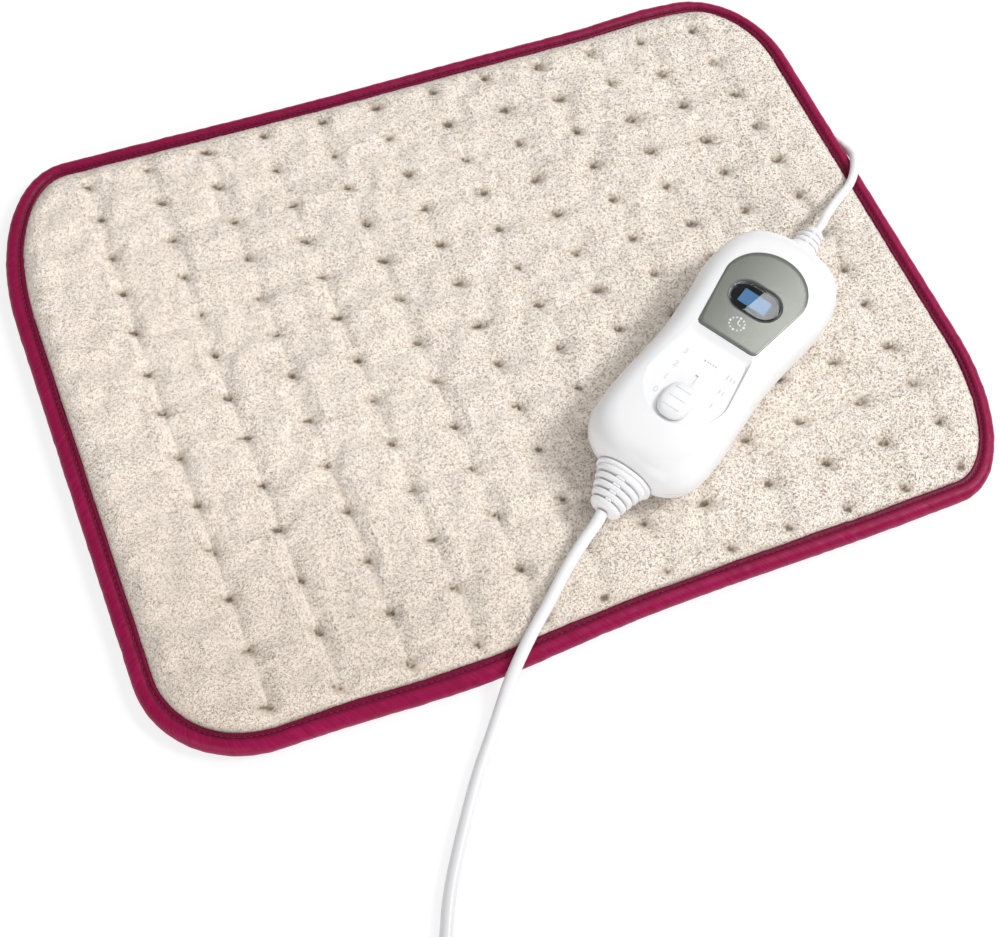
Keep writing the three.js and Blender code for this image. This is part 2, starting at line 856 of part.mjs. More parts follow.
function lowerHousingGeometry() {
  const base = partingHeight - clearance / 2;
  const outer = solidOf(loft(domeRings(0, bottomEdgeInset, base, controllerBottom - base), true));
  const hollow = solidOf(loft([
    housingRing(housingWall, base + overrun),
    ...domeRings(housingWall, bottomEdgeInset, base, innerFloor - base),
  ], true));
  const bosses = screwPlaces().map(([x, y]) => (
    solidOf(upright(postRadius + housingWall / 2, controllerBottom, base, x, y)).intersect(outer)));
  const boardPosts = [[-1, -1], [1, -1], [1, 1], [-1, 1]].map(([signX, signY]) => (
    solidOf(upright(boardPostRadius, controllerBottom, boardHeight - clearance,
      signX * boardPostX, signY * boardPostY))));
  const shell = [...bosses, ...boardPosts]
    .reduce((whole, next) => whole.add(next), outer.subtract(hollow));
  return geometryOf(cut(shell, [
    ...screwPlaces().flatMap(([x, y]) => [
      upright(screwHead / 2 + clearance, controllerBottom - overrun,
        controllerBottom + counterboreDepth + clearance, x, y),
      upright(screwShank / 2 + clearance, controllerBottom, base + overrun, x, y),
    ]),
    ...reliefNotches(),
  ]));
}

function screwGeometry(x, y) {
  const headTop = controllerBottom + counterboreDepth;
  const profile = [
    [0, headTop - screwHeadHeight],
    [screwHead / 2, headTop - screwHeadHeight],
    [screwHead / 2, headTop],
    [screwShank / 2, headTop],
    [screwShank / 2, headTop + screwLength - screwShank],
    [0, headTop + screwLength],
  ].map(([radius, height]) => new THREE.Vector2(radius, height));
  return new THREE.LatheGeometry(profile, pinSides).rotateX(quarterTurn).translate(x, y, 0);
}

function faceplateGeometry() {
  const outline = shield(faceplateNear, faceplateWide, faceplateFar, faceplateNearHalf,
    faceplateWideHalf);
  const shape = new THREE.Shape(outline);
  shape.holes.push(new THREE.Path(
    racetrack(windowLength + clearance * 2, windowWidth + clearance * 2, cornerSteps, windowX)));
  const plate = new THREE.ExtrudeGeometry(shape, {
    depth: faceplateThickness,
    bevelEnabled: false,
  });
  return plate.translate(0, 0, plateBase);
}

function windowGeometry() {
  const rings = [
    [0, pocketFloor + clearance],
    [0, faceHeight + faceplateProud],
    [windowProud, faceHeight + windowProud],
  ].map(([inset, height]) => (
    racetrack(windowLength - inset * 2, windowWidth - inset * 2, cornerSteps, windowX)
      .map((point) => new THREE.Vector3(point.x, point.y, height))));
  return loft(rings, true);
}

function displayHolderGeometry() {
  const [length, width] = [windowLength + displayWall, windowWidth + displayWall];
  const top = ceiling - clearance;
  const seat = top - displayThickness - clearance;
  const holder = solidOf(block(length, width, partBase, top, windowX));
  return geometryOf(cut(holder, [
    block(windowLength - displayWall, windowWidth - displayWall, seat, top + overrun, windowX),
    block(windowLength - displayWall * 2, windowWidth - displayWall * 2, partBase - overrun,
      top + overrun, windowX),
  ]));
}

function displayPanelGeometry() {
  const top = ceiling - clearance;
  const length = windowLength - displayWall - clearance * 2;
  const width = windowWidth - displayWall - clearance * 2;
  return block(length, width, top - displayThickness, top, windowX);
}

// Sliding pieces

function knobGeometry() {
  const floor = recessFloor + clearance;
  const ring = (inset, height) => (
    racetrack(knobLength - inset * 2, knobWidth - inset * 2, cornerSteps, knobX)
      .map((point) => new THREE.Vector3(point.x, point.y, height)));
  const cap = loft([
    ring(0, floor),
    ring(0, floor + knobHeight - knobEdge),
    ring(knobEdge / 3, floor + knobHeight - knobEdge / 3),
    ring(knobEdge, floor + knobHeight),
  ], true);
  const stemBase = carriageTop + clearance;
  const stem = block(stemLength, stemWidth, stemBase, floor + knobHeight / 2, stemX);
  const ridges = [-1, 0, 1].map((place) => block(
    knobRidgeWidth,
    knobRidgeLength,
    floor + knobHeight / 2,
    floor + knobHeight + knobRidgeHeight,
    knobX + place * knobRidgePitch,
  ));
  return geometryOf(joined([cap, stem, ...ridges]));
}

function carriageGeometry() {
  const slotEnd = stemX + stemLength / 2 + knobTravel + clearance;
  const start = carriageEndRoom - halfLength;
  const length = slotEnd - start;
  const plate = block(length, carriageWidth, carriageBase, carriageTop, start + length / 2);
  const fork = block(forkLength, forkWidth, switchTop + clearance, carriageTop, knobX);
  const gripLength = actuatorLength + clearance * 2;
  const gripWidth = actuatorWidth + clearance * 2;
  const grip = block(gripLength, gripWidth, switchTop, carriageBase, knobX);
  return geometryOf(cut(joined([plate, fork]), [grip]));
}

function switchGeometry() {
  const slotLength = knobTravel + actuatorLength + clearance * 2;
  const length = slotLength + switchWall * 2;
  const x = knobX + knobTravel / 2;
  const casing = solidOf(block(length, switchWidth, partBase, switchTop, x));
  const slotWidth = actuatorWidth + clearance * 2;
  const slot = block(slotLength, slotWidth, partBase + switchWall, switchTop + overrun, x);
  return geometryOf(cut(casing, [slot]));
}

function actuatorGeometry() {
  const base = partBase + switchWall + clearance;
  return block(actuatorLength, actuatorWidth, base, carriageBase - clearance, knobX);
}

// Electronics

function boardGeometry() {
  const outline = roundedPoints(boardLength, boardWidth, boardCornerRadius, 0, 2);
  return prism(outline, boardHeight, boardTop);
}

function terminalGeometry(x) {
  const casing = solidOf(block(terminalLength, terminalWidth, partBase, partBase + terminalHeight, x));
  const well = terminalLength / 3;
  const wells = [-1, 1].map((side) => (
    upright(well, partBase + terminalHeight / 2, partBase + terminalHeight + overrun, x,
      (side * terminalWidth) / 4, pinSides)));
  return geometryOf(cut(casing, wells));
}

function triacGeometry() {
  const bodyTop = partBase + (triacHeight * 2) / 3;
  const tab = triacWidth / 3;
  const tabY = triacY + (triacWidth - tab) / 2;
  return geometryOf(joined([
    block(triacLength, triacWidth, partBase, bodyTop, triacX, triacY),
    block(triacLength, tab, partBase, partBase + triacHeight, triacX, tabY),
  ]));
}

function fuseGeometry() {
  const capLength = fuseLength / 4;
  const glassRadius = fuseDiameter / 2 - clearance;
  const profile = [
    [0, -fuseLength / 2],
    [fuseDiameter / 2, -fuseLength / 2],
    [fuseDiameter / 2, -fuseLength / 2 + capLength],
    [glassRadius, -fuseLength / 2 + capLength],
    [glassRadius, fuseLength / 2 - capLength],
    [fuseDiameter / 2, fuseLength / 2 - capLength],
    [fuseDiameter / 2, fuseLength / 2],
    [0, fuseLength / 2],
  ].map(([radius, along]) => new THREE.Vector2(radius, along));
  return new THREE.LatheGeometry(profile, pinSides).rotateZ(quarterTurn)
    .translate(fuseX, fuseY, partBase + fuseDiameter / 2);
}

function varistorGeometry() {
  const disc = new THREE.CylinderGeometry(
    varistorDiameter / 2, varistorDiameter / 2, varistorThickness, reliefSides);
  return disc.translate(varistorX, varistorY, partBase + varistorDiameter / 2);
}

// Strain reliefs

// Stations of a ribbed sleeve: how far along, how much of its girth, and the taper there.
function ribStations(ribs) {
  const stations = [];
  for (let rib = 0; rib < ribs; rib += 1) {
    const start = (rib + 1 / 4) / (ribs + 1 / 4);
    const end = (rib + 1) / (ribs + 1 / 4);
    stations.push([start, grooveDepthShare], [start, 1], [end, 1], [end, grooveDepthShare]);
  }
  stations.pop();
  return stations;
}

function ribbedRings(pathAt, headingAt, ribs, base, tip) {
  return ribStations(ribs).map(([along, girth]) => {
    const across = THREE.MathUtils.lerp(base[0], tip[0], along) * girth;
    const high = THREE.MathUtils.lerp(base[1], tip[1], along) * girth;
    return ovalRing(pathAt(along), headingAt(along), across, high, reliefSides);
  });
}

function housingReliefGeometry(side, length, ribs, base, tip, drop, sway) {
  const wallOuter = side * (halfLength + clearance);
  const wallInner = side * (halfLength - housingWall * 3);
  const pathAt = (along) => new THREE.Vector3(
    wallOuter + side * length * along,
    sway * along * along,
    reliefHeight - drop * along * along,
  );
  const headingAt = (along) => new THREE.Vector3(
    side * length,
    sway * along * 2,
    -drop * along * 2,
  ).normalize();
  const straight = new THREE.Vector3(side, 0, 0);
  const at = (x) => new THREE.Vector3(x, 0, reliefHeight);
  const flangeEnd = wallInner - side * flangeThickness;
  const rings = [
    ovalRing(at(flangeEnd), straight, flangeHalfWidth, flangeHalfHeight, reliefSides),
    ovalRing(at(wallInner), straight, flangeHalfWidth, flangeHalfHeight, reliefSides),
    ovalRing(at(wallInner), straight, neckHalfWidth, neckHalfHeight, reliefSides),
    ovalRing(at(wallOuter), straight, neckHalfWidth, neckHalfHeight, reliefSides),
    ovalRing(at(wallOuter), straight, base[0], base[1], reliefSides),
    ...ribbedRings(pathAt, headingAt, ribs, base, tip),
  ];
  return loft(rings);
}

// Cords

function reliefTip(side, length, drop, sway) {
  return new THREE.Vector3(side * (halfLength + clearance + length), sway, reliefHeight - drop)
    .applyAxisAngle(new THREE.Vector3(0, 0, 1), controllerTurn)
    .add(new THREE.Vector3(controllerX, controllerY, 0));
}

// The point a small clearance past an end, on the way to the next point of the route.
function pastEnd(end, next, gap) {
  return end.clone().addScaledVector(next.clone().sub(end).normalize(), gap);
}

function coilPoint(turn) {
  const perLayer = coilTurns / coilLayers;
  const layer = Math.min(Math.floor(turn / perLayer), coilLayers - 1);
  const within = turn / perLayer - layer;
  const inward = layer % 2 === 0 ? within : 1 - within;
  const radius = coilOuterRadius - (coilOuterRadius - coilInnerRadius) * inward;
  const climbSpan = 1 / 2;
  let level = 0;
  for (let change = 1; change < coilLayers; change += 1) {
    const share = (turn - change * perLayer) / climbSpan + 1 / 2;
    level += Math.min(Math.max(share, 0), 1);
  }
  const angle = coilStartAngle + turn * fullTurn;
  return new THREE.Vector3(
    coilX + radius * Math.cos(angle),
    coilY + radius * Math.sin(angle),
    coilAxis + level * coilPitch,
  );
}

function coilHeading(turn) {
  const angle = coilStartAngle + turn * fullTurn + quarterTurn;
  return new THREE.Vector3(Math.cos(angle), Math.sin(angle), 0);
}

function coilStations() {
  const steps = Math.round(coilTurns * coilStepsPerTurn);
  const stations = Array.from({ length: steps + 1 }, (_, i) => coilPoint((coilTurns * i) / steps));
  const lead = mainsCordDiameter;
  const start = stations[0].clone().addScaledVector(coilHeading(0), -lead);
  const end = stations[steps].clone().addScaledVector(coilHeading(coilTurns), lead);
  return [start, ...stations, end];
}

// The least distance between turns, taken on points that are over half a turn apart.
function leastGap(stations, diameter) {
  let least = Infinity;
  const apart = coilStepsPerTurn / 2;
  for (let i = 0; i < stations.length; i += 1) {
    for (let j = i + apart; j < stations.length; j += 1) {
      const line = new THREE.Line3(stations[j - 1], stations[j]);
      const near = line.closestPointToPoint(stations[i], true, new THREE.Vector3());
      least = Math.min(least, near.distanceTo(stations[i]));
    }
  }
  return least - diameter;
}

function routeLength(stations) {
  return stations.slice(1).reduce((sum, point, i) => sum + point.distanceTo(stations[i]), 0);
}

function mainsCordStations() {
  const tip = reliefTip(-1, mainsReliefLength, mainsReliefDrop, -mainsReliefSway);
  const route = vectors(mainsRoute);
  const coilStart = coilStations()[0];
  const beforeCoil = coilStart.clone().addScaledVector(coilHeading(0), -clearance);
  return smoothStations([pastEnd(tip, route[0], clearance), ...route, beforeCoil], mainsCordSteps);
}

function padCordStations() {
  const tip = reliefTip(1, padReliefLength, padReliefDrop, 0);
  const route = vectors(padCordRoute);
  const last = glandTip.clone().addScaledVector(glandHeadingAt(0), -clearance);
  return smoothStations([pastEnd(tip, route[0], clearance), ...route, last], padCordSteps);
}

function tailStations() {
  const coilEnd = coilStations().pop();
  const start = coilEnd.clone().addScaledVector(coilHeading(coilTurns), clearance);
  const end = new THREE.Vector3(plugX, plugReliefTipY + clearance, plugAxisHeight);
  return smoothStations([start, ...vectors(tailRoute), end], tailSteps);
}

// A band round the coil's bundle of turns.
function tieGeometry() {
  const inner = coilInnerRadius - mainsCordDiameter / 2 - clearance * 2;
  const outer = coilOuterRadius + mainsCordDiameter / 2 + clearance * 2;
  const low = coilBottom - clearance;
  const high = coilTopAxis + mainsCordDiameter / 2 + clearance;
  const band = (grow) => roundedPoints(
    outer - inner + grow * 2, high - low + grow * 2, mainsCordDiameter / 2, 0, tieSteps);
  const loops = [[0, -1], [0, 1], [tieThickness, 1], [tieThickness, -1]];
  const rows = loops.map(([grow, side]) => band(grow).map((point) => (
    new THREE.Vector3(point.x, (side * tieWidth) / 2, point.y))));
  return closedGrid(rows)
    .translate((inner + outer) / 2, 0, (low + high) / 2)
    .rotateZ(tieAngle)
    .translate(coilX, coilY, 0);
}

// Plug

function plugReliefGeometry() {
  const base = plugReliefTipY - plugReliefLength + clearance;
  const pathAt = (along) => new THREE.Vector3(plugX, base + along * (plugReliefTipY - base),
    plugAxisHeight);
  const heading = new THREE.Vector3(0, 1, 0);
  const rings = ribbedRings(pathAt, () => heading, plugReliefRibs,
    [plugReliefBase, plugReliefBase], [plugReliefTip, plugReliefTip]);
  const first = ovalRing(pathAt(0), heading, plugReliefBase, plugReliefBase, reliefSides);
  return loft([first, ...rings]);
}

function plugFaceY() {
  return plugReliefTipY - plugReliefLength - plugLength;
}

function plugBodyGeometry() {
  const sectionShares = [[1, 0], [0.74, 1], [0, 1], [-0.74, 1], [-1, 0], [-0.74, -1], [0, -1],
    [0.74, -1]];
  const bodyShares = [[0, 0.97, 0.94], [0.04, 1, 1], [0.42, 0.95, 1], [0.72, 0.62, 0.92],
    [0.9, 0.4, 0.86], [1, 0.36, 0.82]];
  const rings = bodyShares.map(([along, wide, thick]) => sectionShares.map(([across, high]) => (
    new THREE.Vector3(
      plugX + (across * wide * plugWidth) / 2,
      plugFaceY() + along * plugLength,
      plugAxisHeight + (high * thick * plugThickness) / 2 * 0.98,
    ))));
  const solid = solidOf(loft(rings));
  const holes = [-1, 1].map((side) => (
    alongPlug(pinDiameter / 2 + clearance, -overrun, pinRootDepth + clearance, side)));
  return geometryOf(cut(solid, holes));
}

// A round bar in line with the plug's pins, from one depth behind the face to another.
function alongPlug(radius, from, to, side) {
  const bar = new THREE.CylinderGeometry(radius, radius, to - from, pinSides);
  return bar.translate(plugX + (side * pinSpacing) / 2, plugFaceY() + (from + to) / 2,
    plugAxisHeight);
}

function pinGeometry(side) {
  const radius = pinDiameter / 2;
  const core = radius - pinSleeveWall;
  const profile = [
    [0, -pinLength],
    [radius - pinSleeveWall, -pinLength],
    [radius, -pinLength + pinSleeveWall],
    [radius, -pinSleeveLength - clearance],
    [core - clearance, -pinSleeveLength - clearance],
    [core - clearance, 0],
    [radius, 0],
    [radius, pinRootDepth],
    [0, pinRootDepth],
  ].map(([across, along]) => new THREE.Vector2(across, along));
  return new THREE.LatheGeometry(profile, pinSides)
    .translate(plugX + (side * pinSpacing) / 2, plugFaceY(), plugAxisHeight);
}

function pinSleeveGeometry(side) {
  const radius = pinDiameter / 2;
  const core = radius - pinSleeveWall;
  const profile = [
    [core, -pinSleeveLength],
    [radius, -pinSleeveLength],
    [radius, -clearance],
    [core, -clearance],
    [core, -pinSleeveLength],
  ].map(([across, along]) => new THREE.Vector2(across, along));
  return new THREE.LatheGeometry(profile, pinSides)
    .translate(plugX + (side * pinSpacing) / 2, plugFaceY(), plugAxisHeight);
}

// The assembly

function addPiece(group, name, geometry, color, roughness, metalness = 0) {
  const material = new THREE.MeshStandardMaterial({ color, roughness, metalness });
  const mesh = new THREE.Mesh(geometry, material);
  mesh.name = name;
  group.add(mesh);
}

const heatingPad = new THREE.Group();

addPiece(heatingPad, 'bottom_cover', bottomCoverGeometry(), 0xe6d9cb, 0.95);
addPiece(heatingPad, 'lower_felt', feltGeometry(lowerFeltBase, lowerFeltThickness), 0xf2efe8, 1);
addPiece(heatingPad, 'heating_wire', heatingWireGeometry(), 0xd8d2c4, 0.6);
addPiece(heatingPad, 'upper_felt', feltGeometry(upperFeltBase, upperFeltThickness), 0xf2efe8, 1);
addPiece(heatingPad, 'plush_top_cover', plushGeometry(), 0xe3d6c5, 0.95);
addPiece(heatingPad, 'edge_binding', bindingGeometry(), 0x8c1c48, 0.8);
addPiece(heatingPad, 'thermal_cutout_left', cutoutGeometry(3), 0x3c3a38, 0.5);
addPiece(heatingPad, 'thermal_cutout_right', cutoutGeometry(8), 0x3c3a38, 0.5);
const spliceX = tuftShiftX + (tuftColumns / 2) * tuftPitchX;
const spliceY = glandTip.y + spliceLength / 2;
addPiece(heatingPad, 'wire_splice_outer', spliceGeometry(wireReturnX, spliceY - spliceLength),
  0xb9b2a4, 0.7);
addPiece(heatingPad, 'wire_splice_inner', spliceGeometry(spliceX, spliceY), 0xb9b2a4, 0.7);
addPiece(heatingPad, 'pad_gland', glandGeometry(0), 0xf1f1f1, 0.5);

const controller = new THREE.Group();
controller.position.set(controllerX, controllerY, 0);
controller.rotation.z = controllerTurn;
heatingPad.add(controller);

addPiece(controller, 'lower_housing', lowerHousingGeometry(), 0xf4f4f4, 0.25);
addPiece(controller, 'upper_housing', upperHousingGeometry(), 0xf6f6f6, 0.22);
addPiece(controller, 'faceplate', faceplateGeometry(), 0x96999a, 0.35, 0.6);
addPiece(controller, 'display_window', windowGeometry(), 0x08090b, 0.08);
addPiece(controller, 'display_holder', displayHolderGeometry(), 0xe8e8e8, 0.5);
addPiece(controller, 'display_panel', displayPanelGeometry(), 0x8fb4dc, 0.3);
addPiece(controller, 'slider_knob', knobGeometry(), 0xf4f4f4, 0.3);
addPiece(controller, 'slider_carriage', carriageGeometry(), 0xf0f0f0, 0.4);
addPiece(controller, 'switch_actuator', actuatorGeometry(), 0x202020, 0.5);
addPiece(controller, 'slide_switch', switchGeometry(), 0x2c2c2c, 0.5);
addPiece(controller, 'circuit_board', boardGeometry(), 0x2c6b3f, 0.5);
addPiece(controller, 'mains_terminal', terminalGeometry(-terminalX), 0x3a7d46, 0.5);
addPiece(controller, 'pad_terminal', terminalGeometry(terminalX), 0x3a7d46, 0.5);
addPiece(controller, 'suppression_capacitor', block(capacitorLength, capacitorWidth, partBase,
  partBase + capacitorHeight, capacitorX, capacitorY), 0xd9b23a, 0.4);
addPiece(controller, 'triac', triacGeometry(), 0x1d1d1f, 0.5, 0.2);
addPiece(controller, 'fuse', fuseGeometry(), 0xcfd2d4, 0.2, 0.6);
addPiece(controller, 'varistor', varistorGeometry(), 0x2b55a0, 0.5);
addPiece(controller, 'control_chip', block(chipLength, chipWidth, partBase, partBase + chipHeight,
  chipX), 0x151515, 0.6);
for (const [index, [x, y]] of screwPlaces().entries()) {
  addPiece(controller, `housing_screw_${index + 1}`, screwGeometry(x, y), 0x9a9a9a, 0.3, 0.9);
}
addPiece(controller, 'mains_strain_relief', housingReliefGeometry(-1, mainsReliefLength,
  mainsReliefRibs, [mainsReliefBase, mainsReliefBaseHigh], [mainsReliefTip, mainsReliefTipHigh],
  mainsReliefDrop, -mainsReliefSway), 0xf2f2f2, 0.45);
addPiece(controller, 'pad_strain_relief', housingReliefGeometry(1, padReliefLength,
  padReliefRibs, [padReliefBase, padReliefBaseHigh], [padReliefTip, padReliefTipHigh],
  padReliefDrop, 0), 0xf2f2f2, 0.45);

addPiece(heatingPad, 'pad_cord', tubeAlong(padCordStations(), padCordDiameter, cordSides),
  0xf3f3f3, 0.45);
addPiece(heatingPad, 'mains_cord', tubeAlong(mainsCordStations(), mainsCordDiameter, cordSides),
  0xf1f1f2, 0.45);
addPiece(heatingPad, 'mains_cord_coil', tubeAlong(coilStations(), mainsCordDiameter, coilSides),
  0xf1f1f2, 0.45);
addPiece(heatingPad, 'mains_cord_tail', tubeAlong(tailStations(), mainsCordDiameter, cordSides),
  0xf1f1f2, 0.45);
addPiece(heatingPad, 'cord_tie', tieGeometry(), 0xe9e9e9, 0.6);
addPiece(heatingPad, 'plug_strain_relief', plugReliefGeometry(), 0xf2f2f2, 0.45);
addPiece(heatingPad, 'plug_body', plugBodyGeometry(), 0xf2f2f2, 0.4);
for (const [side, name] of [[-1, 'left'], [1, 'right']]) {
  addPiece(heatingPad, `plug_pin_${name}`, pinGeometry(side), 0xd8d9dc, 0.2, 1);
  addPiece(heatingPad, `plug_pin_sleeve_${name}`, pinSleeveGeometry(side), 0xe8e8e8, 0.5);
}

console.log(`coil least gap to itself ${leastGap(coilStations(), mainsCordDiameter).toFixed(2)} mm`);
const leadLength = [mainsCordStations(), coilStations(), tailStations()]
  .reduce((sum, stations) => sum + routeLength(stations), 0);
console.log(`mains lead ${leadLength.toFixed(0)} mm, `
  + `pad lead ${routeLength(padCordStations()).toFixed(0)} mm`);

export default heatingPad;
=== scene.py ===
# A tufted heating pad with its slide controller, mains lead and plug, on a white floor.
import math

import bmesh
import bpy
import numpy as np
from mathutils import Matrix, Vector


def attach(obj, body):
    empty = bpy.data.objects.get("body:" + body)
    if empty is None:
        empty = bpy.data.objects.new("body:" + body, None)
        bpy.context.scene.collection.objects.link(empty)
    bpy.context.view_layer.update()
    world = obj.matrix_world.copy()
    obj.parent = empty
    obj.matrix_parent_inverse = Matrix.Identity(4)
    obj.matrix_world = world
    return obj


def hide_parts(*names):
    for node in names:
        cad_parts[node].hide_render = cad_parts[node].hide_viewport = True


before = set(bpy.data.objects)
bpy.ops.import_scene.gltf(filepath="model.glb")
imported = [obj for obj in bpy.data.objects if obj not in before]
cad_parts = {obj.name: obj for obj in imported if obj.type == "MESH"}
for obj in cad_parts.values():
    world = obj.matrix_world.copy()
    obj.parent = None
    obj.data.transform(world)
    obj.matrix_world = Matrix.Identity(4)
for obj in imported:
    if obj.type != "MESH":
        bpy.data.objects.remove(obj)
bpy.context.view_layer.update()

quarterTurn = math.pi / 2
fullTurn = math.pi * 2


# Camera, matched to the photograph's view of the pad

camera = {
    "place": (-0.188526, -0.328322, 0.592738),
    "right": (0.920885, -0.380723, 0.083786),
    "up": (0.304321, 0.836409, 0.455861),
    "lens": 55.53,
    "sensor": 36.0,
    "near": 0.01,
}


def addCamera(data):
    lens = bpy.data.cameras.new("viewCamera")
    lens.lens = data["lens"]
    lens.sensor_width = data["sensor"]
    lens.sensor_fit = "HORIZONTAL"
    lens.clip_start = data["near"]
    view = bpy.data.objects.new("viewCamera", lens)
    bpy.context.collection.objects.link(view)
    right, up = Vector(data["right"]), Vector(data["up"])
    turn = Matrix((right, up, right.cross(up))).transposed().to_4x4()
    view.matrix_world = Matrix.Translation(data["place"]) @ turn
    bpy.context.scene.camera = view


addCamera(camera)
print("camera placed")


# Working tools

def clearSelection():
    if bpy.context.mode != "OBJECT":
        bpy.ops.object.mode_set(mode="OBJECT")
    bpy.ops.object.select_all(action="DESELECT")


def pickUp(piece):
    clearSelection()
    piece.select_set(True)
    bpy.context.view_layer.objects.active = piece


def applyModifiers(piece):
    pickUp(piece)
    for modifier in list(piece.modifiers):
        bpy.ops.object.modifier_apply(modifier=modifier.name)


def addModifier(piece, kind, **settings):
    modifier = piece.modifiers.new(kind.lower(), kind)
    for key, value in settings.items():
        setattr(modifier, key, value)
    return modifier


# Puts a piece in its place for good, with its object at the origin.
def seat(piece, matrix=Matrix()):
    bpy.context.view_layer.update()
    piece.matrix_world = matrix @ piece.matrix_world
    pickUp(piece)
    bpy.ops.object.transform_apply(location=True, rotation=True, scale=True)
    return piece


def recalculate(piece):
    pickUp(piece)
    bpy.ops.object.mode_set(mode="EDIT")
    bpy.ops.mesh.select_all(action="SELECT")
    bpy.ops.mesh.normals_make_consistent(inside=False)
    bpy.ops.object.mode_set(mode="OBJECT")


def smooth(piece, degrees=35):
    pickUp(piece)
    bpy.ops.object.shade_smooth_by_angle(angle=math.radians(degrees))


# Places round a circle, which powers below one make squarer.
def roundPlaces(count, powerAcross=1, powerAbove=1):
    places = []
    for k in range(count):
        a, b = math.cos(fullTurn * k / count), math.sin(fullTurn * k / count)
        places.append((math.copysign(abs(a) ** powerAcross, a),
                       math.copysign(abs(b) ** powerAbove, b)))
    return places


def meshPiece(name, points, faces):
    mesh = bpy.data.meshes.new(name)
    mesh.from_pydata([tuple(point) for point in points], [], faces)
    mesh.update()
    piece = bpy.data.objects.new(name, mesh)
    bpy.context.collection.objects.link(piece)
    return piece


# A disc is extruded ring by ring, and each new ring is moved to its outline.
def sweepRings(name, rings):
    clearSelection()
    bpy.ops.mesh.primitive_circle_add(vertices=len(rings[0]), fill_type="NGON")
    piece = bpy.context.object
    piece.name = name
    piece.data.name = name
    bpy.ops.object.mode_set(mode="EDIT")
    shape = bmesh.from_edit_mesh(piece.data)
    around = shape.verts.layers.int.new("around")
    for index, vertex in enumerate(shape.verts):
        vertex[around] = index
        vertex.co = rings[0][index]
    for ring in rings[1:]:
        bpy.ops.mesh.extrude_region_move()
        shape = bmesh.from_edit_mesh(piece.data)
        around = shape.verts.layers.int["around"]
        for vertex in shape.verts:
            if vertex.select:
                vertex.co = ring[vertex[around]]
    bmesh.update_edit_mesh(piece.data)
    bpy.ops.mesh.select_all(action="SELECT")
    bpy.ops.mesh.normals_make_consistent(inside=False)
    bpy.ops.object.mode_set(mode="OBJECT")
    piece.data.attributes.remove(piece.data.attributes["around"])
    return piece


def combine(piece, tools, operation="DIFFERENCE"):
    for tool in tools:
        modifier = addModifier(piece, "BOOLEAN", operation=operation, solver="EXACT")
        modifier.object = tool
        applyModifiers(piece)
        bpy.data.objects.remove(tool, do_unlink=True)


def softenEdges(piece, width, segments=2, degrees=30):
    addModifier(piece, "BEVEL", width=width, segments=segments, limit_method="ANGLE",
                angle_limit=math.radians(degrees), use_clamp_overlap=True)
    applyModifiers(piece)
    smooth(piece, degrees)
    addModifier(piece, "WEIGHTED_NORMAL", keep_sharp=True)
    applyModifiers(piece)


def addBlock(name, low, high):
    clearSelection()
    middle = [(a + b) / 2 for a, b in zip(low, high)]
    bpy.ops.mesh.primitive_cube_add(size=1, location=middle)
    piece = bpy.context.object
    piece.name = name
    piece.scale = [b - a for a, b in zip(low, high)]
    return seat(piece)


def addRound(name, radius, low, high, x, y, sides=32):
    clearSelection()
    bpy.ops.mesh.primitive_cylinder_add(
        vertices=sides, radius=radius, depth=high - low, location=(x, y, (low + high) / 2))
    piece = bpy.context.object
    piece.name = name
    return seat(piece)


def joinPieces(name, pieces):
    clearSelection()
    for piece in pieces:
        piece.select_set(True)
    bpy.context.view_layer.objects.active = pieces[0]
    if len(pieces) > 1:
        bpy.ops.object.join()
    pieces[0].name = name
    pieces[0].data.name = name
    return pieces[0]


def finishPiece(piece, material, replaced=(), body="root"):
    piece.data.materials.clear()
    piece.data.materials.append(material)
    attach(piece, body)
    if replaced:
        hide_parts(*replaced)
    return piece


# Curves and outlines, in the same way as the solids were drawn

def hermite(start, end, startPull, endPull, share):
    square, cube = share * share, share * share * share
    return (start * (2 * cube - 3 * square + 1) + end * (3 * square - 2 * cube)
            + startPull * (cube - 2 * square + share) + endPull * (cube - square))


def centripetal(points, perSpan, closed=False):
    points = [np.array(point, float) for point in points]
    count = len(points)
    curve = []
    for i in range(count if closed else count - 1):
        start, end = points[i], points[(i + 1) % count]
        before = points[(i - 1) % count] if closed or i else 2 * start - end
        after = points[(i + 2) % count] if closed or i + 2 < count else 2 * end - start
        gaps = [math.sqrt(np.linalg.norm(b - a))
                for a, b in ((before, start), (start, end), (end, after))]
        startPull = ((start - before) / gaps[0] - (end - before) / (gaps[0] + gaps[1])
                     + (end - start) / gaps[1]) * gaps[1]
        endPull = ((end - start) / gaps[1] - (after - start) / (gaps[1] + gaps[2])
                   + (after - end) / gaps[2]) * gaps[1]
        for step in range(perSpan):
            curve.append(hermite(start, end, startPull, endPull, step / perSpan))
    if not closed:
        curve.append(points[-1])
    return np.array(curve)


# Points at an even pace along a line.
def evenly(line, count, closed=False):
    line = np.vstack([line, line[:1]]) if closed else np.asarray(line)
    lengths = np.concatenate([[0], np.cumsum(np.linalg.norm(np.diff(line, axis=0), axis=1))])
    stops = np.linspace(0, lengths[-1], count + 1 if closed else count)
    even = np.stack([np.interp(stops, lengths, line[:, k]) for k in range(line.shape[1])], axis=1)
    return even[:-1] if closed else even


def unit(vectors):
    return vectors / np.linalg.norm(vectors, axis=-1, keepdims=True)


def pathLength(line):
    return float(np.linalg.norm(np.diff(line, axis=0), axis=1).sum())


